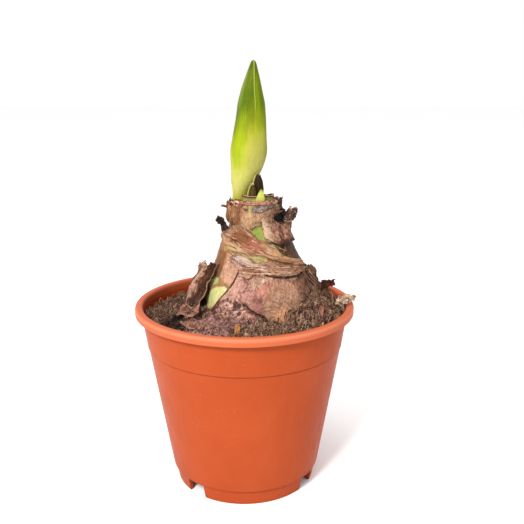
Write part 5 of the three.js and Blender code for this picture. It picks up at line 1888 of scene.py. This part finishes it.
def peeling_look():
    look = Look("peeling_scale", (122, 80, 76), 0.6)
    look.blotches((84, 52, 54), 5.0, 0.7, 0.4)
    look.streaks((150, 104, 90), 1.1, 0.5, 0.05, 2.0, (70, 42, 38), 0.6)
    level = look.value("top_share")
    look.over(ranged(level, 0.35, 0.6), (196, 142, 116), 0.8)
    front = plus(look.value("front_share"), drift(look.place, 0.3, 0.35, 4.0))
    # The peel's inside, seen at its open front: dark brown skin, painted darker still as the shade inside
    # the roll.
    inner = times(ranged(front, 0.76, 0.84), ranged(level, 0.3, 0.5))
    look.over(inner, (72, 38, 24), 0.95)
    look.streaks((158, 104, 64), 1.4, 0.6, 0.05, 1.2, None, 0.5, "fibre", inner)
    look.over(times(ranged(front, 0.68, 0.72), ranged(front, 0.8, 0.76)), (226, 180, 150), 0.7)
    look.streaks((90, 56, 44), 1.9, 0.35, 0.05, 1.2, None, 0.3)
    look.weathered(0.55, 1.2)
    look.relief_highlight_and_shade(0.5, 0.6)
    look.edge((206, 164, 130), 0.35, 0.5, 0.7)
    look.specks((54, 34, 32), 0.9, 0.36, 0.6)
    return look.done(0.45, (1.1, 0.5))


def make_peeling():
    folds = crumpled(30, 34, 1.2, 9, 80)
    sheet_piece("peeling_scale", (peeling_look(), "scale_dark", ("peeling_scale_left",)), peeling_point,
                (150, 100), (0.6, 1.2, 0, 2.2), papery(52, 34, 0.24, 1.4, 0.8, 5, 0.14, 80),
                lambda u, v: folds(u, v) - 1.2 * smooth(u, 0.8, 0.95),
                more=lambda u, v: {"front_share": u, "top_share": v}, seed=80)


def torn_right_lift(u, v, azimuth, height):
    nub = 1.9 * hill(azimuth - 91, 6) * hill(height - 127, 2)
    ragged = 0.6 * np.sin(height * 1.3) * fall(u, 0, 0.4)
    return np.maximum(1.85, 2 + nub + ragged + 0.3 * smooth(u, 0, 0.5))


torn_right_point, torn_right_where = over_bulb(
    lambda v: lerp(88, 71, v), lambda v: 128,
    curve([(71, 117), (88, 115), (128, 114)]),
    curve([(71, 130.4), (84, 131.6), (96, 130.6), (128, 127)]),
    torn_right_lift)


def torn_flap_point(u, v):
    width = lerp(9, 3.2, u) * (1 - 0.22 * hill(u - 0.55, 0.15))
    place = blade((44.5, -5.1, 122.4), (9.4, 2, 0.8), (0.1, -0.45, 0.89))
    return place(u, (v - 0.5) * width, 0.9 * np.sin(4 * v + 2 * u) + 0.5 * np.sin(8 * u))


def dried_flap_point(u, v):
    width = lerp(7.4, 3.2, smooth(u, 0.35, 1)) * (0.75 + 0.25 * smooth(u, 0, 0.3))
    place = blade((53.4, -11.2, 114.4), (12.6, 3.2, 0.8), (0.35, 0.85, 0.62))
    droop = 1.1 * (1 - np.clip(v, 0, 1)) ** 4
    fold = -2.4 * np.abs(v - 0.42) ** 1.3 + 0.35 * np.sin(9 * v + 5 * u) - droop
    return place(u, (v - 0.5) * width, fold + 0.8 * np.sin(3 * u))


def dried_tail_point(u, v):
    width = lerp(2.6, 1.6, u)
    place = blade((55.3, -12.6, 113.4), (1.8, -2.2, -4.4), (0.8, 0.4, 0.1))
    return place(u, (v - 0.5) * width, 1.4 * np.sin(math.pi * u))


def fallen_left_point(u, v):
    place = blade((-36.5, -20.5, 110.6), (11.5, -4.6, 1.2), (3.4, 6.4, 4.6))
    ripple = 1.1 * np.sin(6.4 * u + 1.2) * (0.4 + v) + 0.7 * np.sin(5 * v + 3 * u)
    return place(u, v - 0.5 + 0.12 * np.sin(7 * u), ripple)


def fallen_front_point(u, v):
    place = blade((-33.2, -33.6, 107.4), (12.4, -7, 0.6), (2.6, 5.6, 3.2))
    ripple = 0.9 * np.sin(7 * u) * (0.5 + 0.5 * v) + 0.8 * np.sin(4 * v + 1)
    return place(u, v - 0.5 + 0.1 * np.sin(9 * u), ripple)


def dried_look():
    look = Look("pale_dried_skin", (248, 224, 194), 0.7)
    look.blotches((222, 184, 148), 3.0, 0.7, 0.4)
    look.streaks((208, 166, 130), 1.5, 0.4, 0.05, 1.5, (146, 104, 76), 0.5)
    across = part(look.place, "X")
    look.over(ranged(across, 63.4, 66.0), (128, 118, 100), 0.6)
    look.weathered(0.6, 1.2)
    look.relief_highlight_and_shade(0.3, 0.8)
    # Dark specks that stand for small holes, painted as the shade seen through them.
    look.specks((56, 32, 26), 1.8, 0.5, 0.85)
    look.edge((244, 220, 188), 0.4, 0.3, 0.7)
    return look.done(0.4, (0.8, 0.5))


def make_flaps():
    shoulder = dark_look("torn_shoulder", (132, 78, 60), (214, 166, 130), (60, 30, 26))
    shoulder.mark("torn_red", (140, 62, 52), 1.0, 0.8, 0.6)
    shoulder.mark("torn_green", (170, 158, 92), 1.6, 1.4, 0.65)
    black = dark_look("black_skin", (46, 34, 32), (112, 84, 70), (24, 18, 18))
    plum = dark_look("plum_skin", (68, 24, 20), (156, 92, 76), (36, 14, 16))
    crushed = dark_look("crumpled_skin", (206, 132, 112), (240, 186, 160), (104, 58, 52))
    inside = dark_look("dried_inside", (140, 102, 76), (244, 220, 188), (66, 40, 30))
    for look in (shoulder, black, plum, crushed, inside):
        look.done(0.45, (1.0, 0.6))
    # Each piece's name, node, slot, look, shape, cells and frayed edges, and the width, length, height
    # and size of its folds.
    pieces = (
        ("black_flap", "black_flap_left", "skin_black", black, black_flap_point, (60, 50),
         (0.6, 1.8, 1.6, 1.8), (8, 6, 1.3, 1.7)),
        ("torn_skin", "torn_scale_right", "scale_dark", shoulder, torn_right_point, (120, 60),
         (1.4, 0.6, 0, 3.6), (32, 15, 0.9, 3)),
        ("torn_flap", "torn_flap_right", "scale_dark", plum, torn_flap_point, (60, 50),
         (0.3, 1.4, 1.0, 1.4), (10, 8, 1.0, 3)),
        ("dried_skin", "dried_flap", "paper_pale", dried_look(), dried_flap_point, (90, 70),
         (1.0, 1.2, 1.2, 1.4), (13, 7, 1.3, 3)),
        ("dried_tail", "dried_flap", "paper_pale", inside, dried_tail_point, (36, 20),
         (0, 0.8, 0.4, 0.4), (5, 2, 0.6, 1.6)),
        ("fallen_skin_back", "fallen_scale_left", "scale_crumpled", crushed, fallen_left_point, (80, 64),
         (1.2, 1.2, 0.6, 1.4), (13, 9, 1.1, 3.4)),
        ("fallen_skin_front", "fallen_scale_front", "scale_crumpled", crushed, fallen_front_point, (80, 60),
         (1.2, 1.2, 0.6, 1.4), (14, 7, 1.1, 3.4)),
    )
    for seed, (name, node, slot, look, point, cells, fray, folds) in enumerate(pieces, 90):
        width, length, _, size = folds
        relief = papery(width, length, 0.12, 0.9, 0.3, size, 0.08, seed)
        sheet_piece(name, (look, slot, (node,)), point, cells, fray, relief, crumpled(*folds, seed),
                    torn_right_where, fibres_along="v" if look is shoulder else "u", seed=seed)


# The bud and the young leaves

bud_centre = curve([
    (166.3, -2.9), (172, -2.6), (175.5, -1.8), (182.4, -0.3), (189.3, 1.5), (196, 2.5), (206, 3.15),
    (219.3, 4.1), (232.3, 4.45), (245.1, 5.35), (249.6, 5.65)])
bud_half_width = curve([
    (166.3, 3.7), (172, 4.4), (175.5, 5.1), (179, 6.2), (182.4, 7.5), (189.3, 9.2), (196, 10),
    (199.4, 10.15), (206, 9.55), (219.3, 8.1), (225.8, 7.5), (232.3, 6.05), (238.7, 4.4), (245.1, 2.45),
    (248.3, 1.35), (249.6, 0.5)])
bud_flatness = curve([(166.3, 0.95), (175, 0.84), (190, 0.71), (220, 0.7), (249.6, 0.9)])

# The line where the two halves of the bud's sheath meet, as azimuths at heights.
seam_azimuth = curve([(166, 27), (200, 24), (222, 20), (249.6, 14)])


def bud_rows(v):
    height = np.interp(v, (0, 0.01, 0.985, 1), (166.6, 166.7, BUD_TOP - 0.6, BUD_TOP))
    return height, np.interp(v, (0, 0.01, 0.985, 0.995, 1), (0, 1, 1, 0.6, 0))


def bud_point(u, v):
    height, share = bud_rows(v)
    half = bud_half_width(height) * share
    azimuth = 360 * u - 180
    angle = np.radians(azimuth)
    keel = 0.07 * hill(np.abs(azimuth) - 90, 14) * smooth(height, 185, 200)
    y = 2.6 - 0.6 * smooth(height, 170, 190)
    return stacked(bud_centre(height) + half * np.sin(angle) * (1 + keel) * 0.965,
                   y - half * bud_flatness(height) * np.cos(angle), height)


def bud_relief(places, u, v):
    azimuth = 360 * u - 180
    height, share = bud_rows(v)
    around_bud = np.radians(azimuth) * 8
    ribs = 0.05 * veined(around_bud / 0.75, height / 45, 0, 2)
    seam = smooth(height, 214, 226)
    from_seam = np.radians(azimuth - seam_azimuth(height)) * bud_half_width(height)
    ridge = 0.16 * hill(from_seam, 0.45) * seam - 0.1 * hill(from_seam - 0.9, 0.35) * seam
    return (ribs + ridge + 0.06 * rough(places, 9, 2, 4)) * share


def bud_values(u, v):
    azimuth = 360 * u - 180
    height = bud_rows(v)[0]
    from_seam = np.radians(azimuth - seam_azimuth(height)) * bud_half_width(height)
    return {"to_right": np.sin(np.radians(azimuth)), "from_seam": from_seam}


def bud_look():
    look = Look("bud_sheath", (196, 194, 44), 0.42, 0.08)
    height = part(look.place, "Z")
    right = look.value("to_right")
    level = plus(height, drift(stretched(look.place, 0.12, 0.03), 30.0))
    green_level = plus(level, times(right, -6.0))
    # Each paint, its strength, and the steps that it lies between as (value, low, high).
    for paint, strength, *steps in (
            ((204, 198, 90), 0.8, (level, 212, 196)),
            ((190, 180, 104), 0.8, (right, -0.2, 0.3), (level, 216, 198)),
            ((66, 92, 0), 1.0, (green_level, 200, 228)),
            ((164, 188, 0), 0.8, (right, -0.05, -0.55), (right, -1.05, -0.7), (level, 226, 206),
             (level, 182, 204)),
            ((222, 214, 128), 0.85, (right, 0.5, -0.2), (level, 196, 182)),
            ((204, 192, 50), 0.8, (level, 182, 170)),
            ((70, 92, 0), 0.7, (right, 0.5, 0.95), (height, 218, 234)),
            # Painted shade along the right edge.
            ((140, 150, 46), 0.6, (right, 0.8, 1), (height, 190, 200)),
            # Painted sheen along the upper left edge.
            ((150, 164, 96), 0.6, (right, -0.6, -0.95), (height, 214, 230)),
            ((50, 62, 0), 0.8, (height, 238, 248))):
        look.over(times(*(ranged(*step) for step in steps)), paint, strength)
    look.streaks((150, 164, 0), 1.5, 0.22, 0.02, 0.5, (84, 104, 0), 0.5)
    feathered = times(ranged(level, 208.0, 218.0), ranged(level, 240.0, 228.0))
    look.streaks((74, 100, 0), 0.9, 0.55, 0.02, 0.6, None, 0.3, "fibre", feathered)
    from_seam = look.value("from_seam")
    bright = times(ranged(from_seam, 0.2, 0.8), ranged(from_seam, 4.5, 2.0), ranged(height, 206.0, 216.0),
                   ranged(height, 246.0, 236.0))
    look.over(bright, (134, 156, 0), 0.5)
    beside = falling(maths("ABSOLUTE", from_seam), 0.15, 0.5)
    look.over(times(beside, ranged(height, 216.0, 228.0)), (190, 200, 90), 0.6)
    look.specks((120, 118, 40), 0.7, 0.22, 0.5)
    look.blotches((150, 160, 0), 9.0, 0.2, 0.3)
    look.shader["Subsurface Weight"].default_value = 0.12
    look.shader["Subsurface Radius"].default_value = (0.6, 1.0, 0.15)
    look.shader["Subsurface Scale"].default_value = 0.002
    return look.done(0.12, strength=0.8)


def make_bud():
    tube_piece("bud_sheath", (bud_look(), "bud_green", ("flower_bud",), 60), bud_point, (160, 200),
               bud_relief, more=bud_values, fibre_radius=8.0)


def leaf_point(base_x, base_y, tip_x, tip_y, bottom, top, width, fold):
    def point(u, v):
        narrowing = np.sqrt(np.maximum(0.03, 1 - np.clip(v, 0, 1) ** 3.4))
        side = u - 0.5
        x = lerp(base_x, tip_x, v) + side * width * narrowing
        y = lerp(base_y, tip_y, v) + fold * (4 * side * side) * narrowing
        return stacked(x, y, lerp(bottom, top, v))

    return point


def leaf_look(name, ground, shade, dark_side):
    """A dark young leaf: a pale rim along its left side and over its tip, darker at the right."""
    look = Look(name, ground, 0.4, 0.12)
    left, tip = look.value("to_left"), look.value("to_tip")
    look.over(ranged(tip, 0.45, 0.85), shade, 0.8)
    look.over(ranged(left, 0.4, 0.12), dark_side, 0.85)
    look.blotches(shade, 3.0, 0.5, 0.3)
    look.streaks(shade, 1.7, 0.5, 0.03, 0.6, ground, 0.4)
    rim = ranged(look.value("border"), 0.5, 0.3)
    rim_part = maths("MAXIMUM", ranged(left, 0.5, 0.7), ranged(tip, 0.93, 0.97))
    look.over(times(rim, rim_part), (206, 196, 120), 0.85)
    return look.done(0.2, (0.9, 0.15))


def make_leaves():
    dark = leaf_look("dark_leaf", (70, 54, 24), (50, 38, 20), (20, 22, 8))
    olive = leaf_look("olive_leaf", (110, 92, 32), (78, 58, 22), (56, 42, 18))
    tall = leaf_point(7.7, 1.2, 7.9, -3.0, 166.7, 187.8, 7.4, -0.9)
    short = leaf_point(3.9, -3.6, 4.9, -4.2, 166.7, 181.8, 5.8, -0.6)
    relief = papery(7, 18, 0.05, 0.8, 0.05, 5, 0.0, 31)
    for name, node, look, point, thickness in (("leaf_tall", "young_leaf_tall", dark, tall, 1.1),
                                               ("leaf_short", "young_leaf_short", olive, short, 1.0)):
        sheet_piece(name, (look, "young_leaf", (node,), 60), point, (48, 90), (0, 0, 0, 0), relief,
                    more=lambda u, v: {"to_left": 1 - u, "to_tip": v}, thickness=thickness,
                    outer=thickness, seed=31)


def shoot_point(u, v):
    rows = (0, 0.05, 0.3, 0.5, 0.7, 0.85, 0.95, 1)
    height = np.interp(v, rows, (166.6, 166.6, 169.6, 172.4, 174.6, 176.8, 178.9, 179.6))
    share = np.interp(v, rows, (0, 1, 1, 1, 0.86, 0.62, 0.3, 0))
    angle = np.radians(360 * u - 180)
    lean = 0.7 * smooth(height, 171, 180)
    return stacked(9.3 + lean + share * 2.7 * np.sin(angle), -10.75 - share * 1.1 * np.cos(angle), height)


def make_shoot():
    look = Look("pale_shoot", (206, 206, 96), 0.36)
    look.blotches((186, 196, 74), 3.0, 0.5, 0.3)
    look.streaks((184, 190, 72), 1.8, 0.4, 0.03, 0.4, None, 0.3)
    height = part(look.place, "Z")
    look.over(ranged(height, 177.0, 179.4), (132, 120, 52), 0.8)
    look.over(ranged(height, 171.0, 168.0), (150, 158, 70), 0.6)
    finish = (look.done(0.15, (0.7, 0.1)), "shoot_pale", ("shoot_tip",), 60)
    tube_piece("pale_shoot", finish, shoot_point, (60, 70), papery(15, 13, 0.04, 0.9, 0.04, 4, 0.0, 33),
               fibre_radius=3.0)


# The bark chips in the soil

def chip_point(centre, size, tilt):
    """A small uneven slab with rounded edges, turned by three angles in degrees."""
    turn = np.array(Euler([math.radians(angle) for angle in tilt], "XYZ").to_matrix())

    def point(u, v):
        angle = 2 * np.pi * u - np.pi
        height = np.interp(v, (0, 0.12, 0.88, 1), (-0.5, -0.49, 0.49, 0.5))
        share = np.interp(v, (0, 0.06, 0.12, 0.88, 0.94, 1), (0, 0.8, 1, 1, 0.8, 0))
        box = np.maximum(np.abs(np.sin(angle)), np.abs(np.cos(angle))) ** 0.8
        across = 0.5 * share * np.sin(angle) / box
        deep = -0.5 * share * np.cos(angle) / box
        taper = 1 - 0.35 * (2 * height) ** 2
        wave = 0.35 * np.sin(6 * height + 3 * across)
        place = stacked(across * size[0] * taper, deep * size[1] + wave, height * size[2])
        return place @ turn.T + np.array(centre)

    return point


def chip_look(name, ground, dark):
    look = Look(name, ground, 0.8)
    look.blotches(dark, 2.0, 0.6, 0.5)
    look.streaks(dark, 1.6, 0.6, 0.08, 0.8, dark, 0.8)
    look.specks((70, 46, 34), 0.6, 0.36, 0.7)
    return look.done(0.35, (0.8, 0.6))


def make_chips():
    relief = papery(9, 8, 0.15, 0.8, 0.3, 2, 0.12, 44)
    for name, node, centre, size, tilt, ground, dark in (
            ("bark_orange", "bark_chip_orange", (-2.9, -50.4, 109.4), (2.9, 1.6, 7.4), (-18, 8, 10),
             (240, 178, 112), (188, 116, 64)),
            ("bark_red", "bark_chip_red", (43, -31.5, 113.6), (3, 1.7, 7.6), (-24, 6, -12),
             (212, 140, 110), (150, 90, 68))):
        tube_piece(name, (chip_look(name, ground, dark), "bark", (node,), 45),
                   chip_point(centre, size, tilt), (56, 48), relief, fibre_radius=1.5)


# The stage, the lights and the camera

# The camera fitted to the photograph: its place in metres, how many degrees it looks down, and its
# lens and sensor in millimetres.
CAMERA_PLACE = (0.01035, -0.4066, 0.2396)
CAMERA_DIP = 14.486
LENS = 48.82
SENSOR_WIDTH = 36

# What the lamps point at, and the width of the floor, in metres.
AIM = (0, 0, 0.12)
FLOOR_WIDTH = 12


def make_floor():
    floor = added(bpy.ops.mesh.primitive_plane_add, size=FLOOR_WIDTH, location=(0, 0, 0))
    floor.name = floor.data.name = "floor"
    look = Look("pale_floor", (0.975, 0.975, 0.975, 1), 0.9, 0.0)
    look.over(noise(look.place, 0.002, 2.0), (0.99, 0.99, 0.99, 1))
    floor.data.materials.append(look.done().material)


def add_light(name, place, size, watts):
    data = bpy.data.lights.new(name, "AREA")
    data.shape = "DISK"
    data.size = size
    data.energy = watts
    light = bpy.data.objects.new(name, data)
    light.location = place
    light.rotation_euler = (Vector(AIM) - Vector(place)).to_track_quat("-Z", "Y").to_euler()
    bpy.context.scene.collection.objects.link(light)


def make_lights():
    world = bpy.data.worlds.new("studio")
    bpy.context.scene.world = world
    world.use_nodes = True
    background = world.node_tree.nodes["Background"].inputs
    background["Color"].default_value = (1, 1, 1, 1)
    background["Strength"].default_value = 1.0
    add_light("key", (-0.45, -0.95, 0.9), 0.35, 22)
    add_light("top", (-0.1, -0.1, 1.2), 0.5, 2)


def make_camera():
    data = bpy.data.cameras.new("camera")
    data.sensor_width = SENSOR_WIDTH
    data.lens = LENS
    camera = bpy.data.objects.new("camera", data)
    camera.location = CAMERA_PLACE
    camera.rotation_euler = (math.radians(90 - CAMERA_DIP), 0, 0)
    bpy.context.scene.collection.objects.link(camera)
    bpy.context.scene.camera = camera


def main():
    make_pot()
    make_soil()
    crumbs = crumb_look()
    make_crumbs("soil_clods", 1100, 0.6, 2.1, 2, 5, crumbs)
    make_crumbs("soil_grains", 4600, 0.25, 0.85, 1, 6, crumbs)
    pale = thread_look("coir", (108, 74, 56), (188, 140, 104), (240, 206, 168))
    make_soil_fibres("soil_fibres", 2600, 7, (2, 11), (0.06, 0.14), pale)
    dark = thread_look("peat_fibre", (44, 30, 26), (84, 58, 47), (140, 100, 78))
    make_soil_fibres("soil_roots", 1300, 8, (2, 9), (0.12, 0.26), dark)
    make_bulb()
    make_lower_front()
    make_middle()
    make_wrap()
    make_ring()
    shreds = thread_look("shred_skin", (78, 38, 32), (150, 92, 70), (220, 172, 138))
    shred_spans = ((-125, -70), (-80, -38), (52, 112), (150, 200))
    make_rim_shreds("neck_shreds", 150, 44, shred_spans, 3.2, shreds)
    fringe = thread_look("fringe_skin", (128, 74, 56), (188, 134, 104), (232, 190, 158))
    make_rim_shreds("neck_fringe", 80, 45, ((-45, 60),), 1.5, fringe)
    make_neck_layers()
    make_collar()
    make_neck_left()
    make_curled_flap()
    make_peeling()
    make_flaps()
    make_all_strands()
    make_bud()
    make_leaves()
    make_shoot()
    make_chips()
    make_floor()
    make_lights()
    make_camera()
    bpy.context.scene.view_settings.view_transform = "Standard"


main()
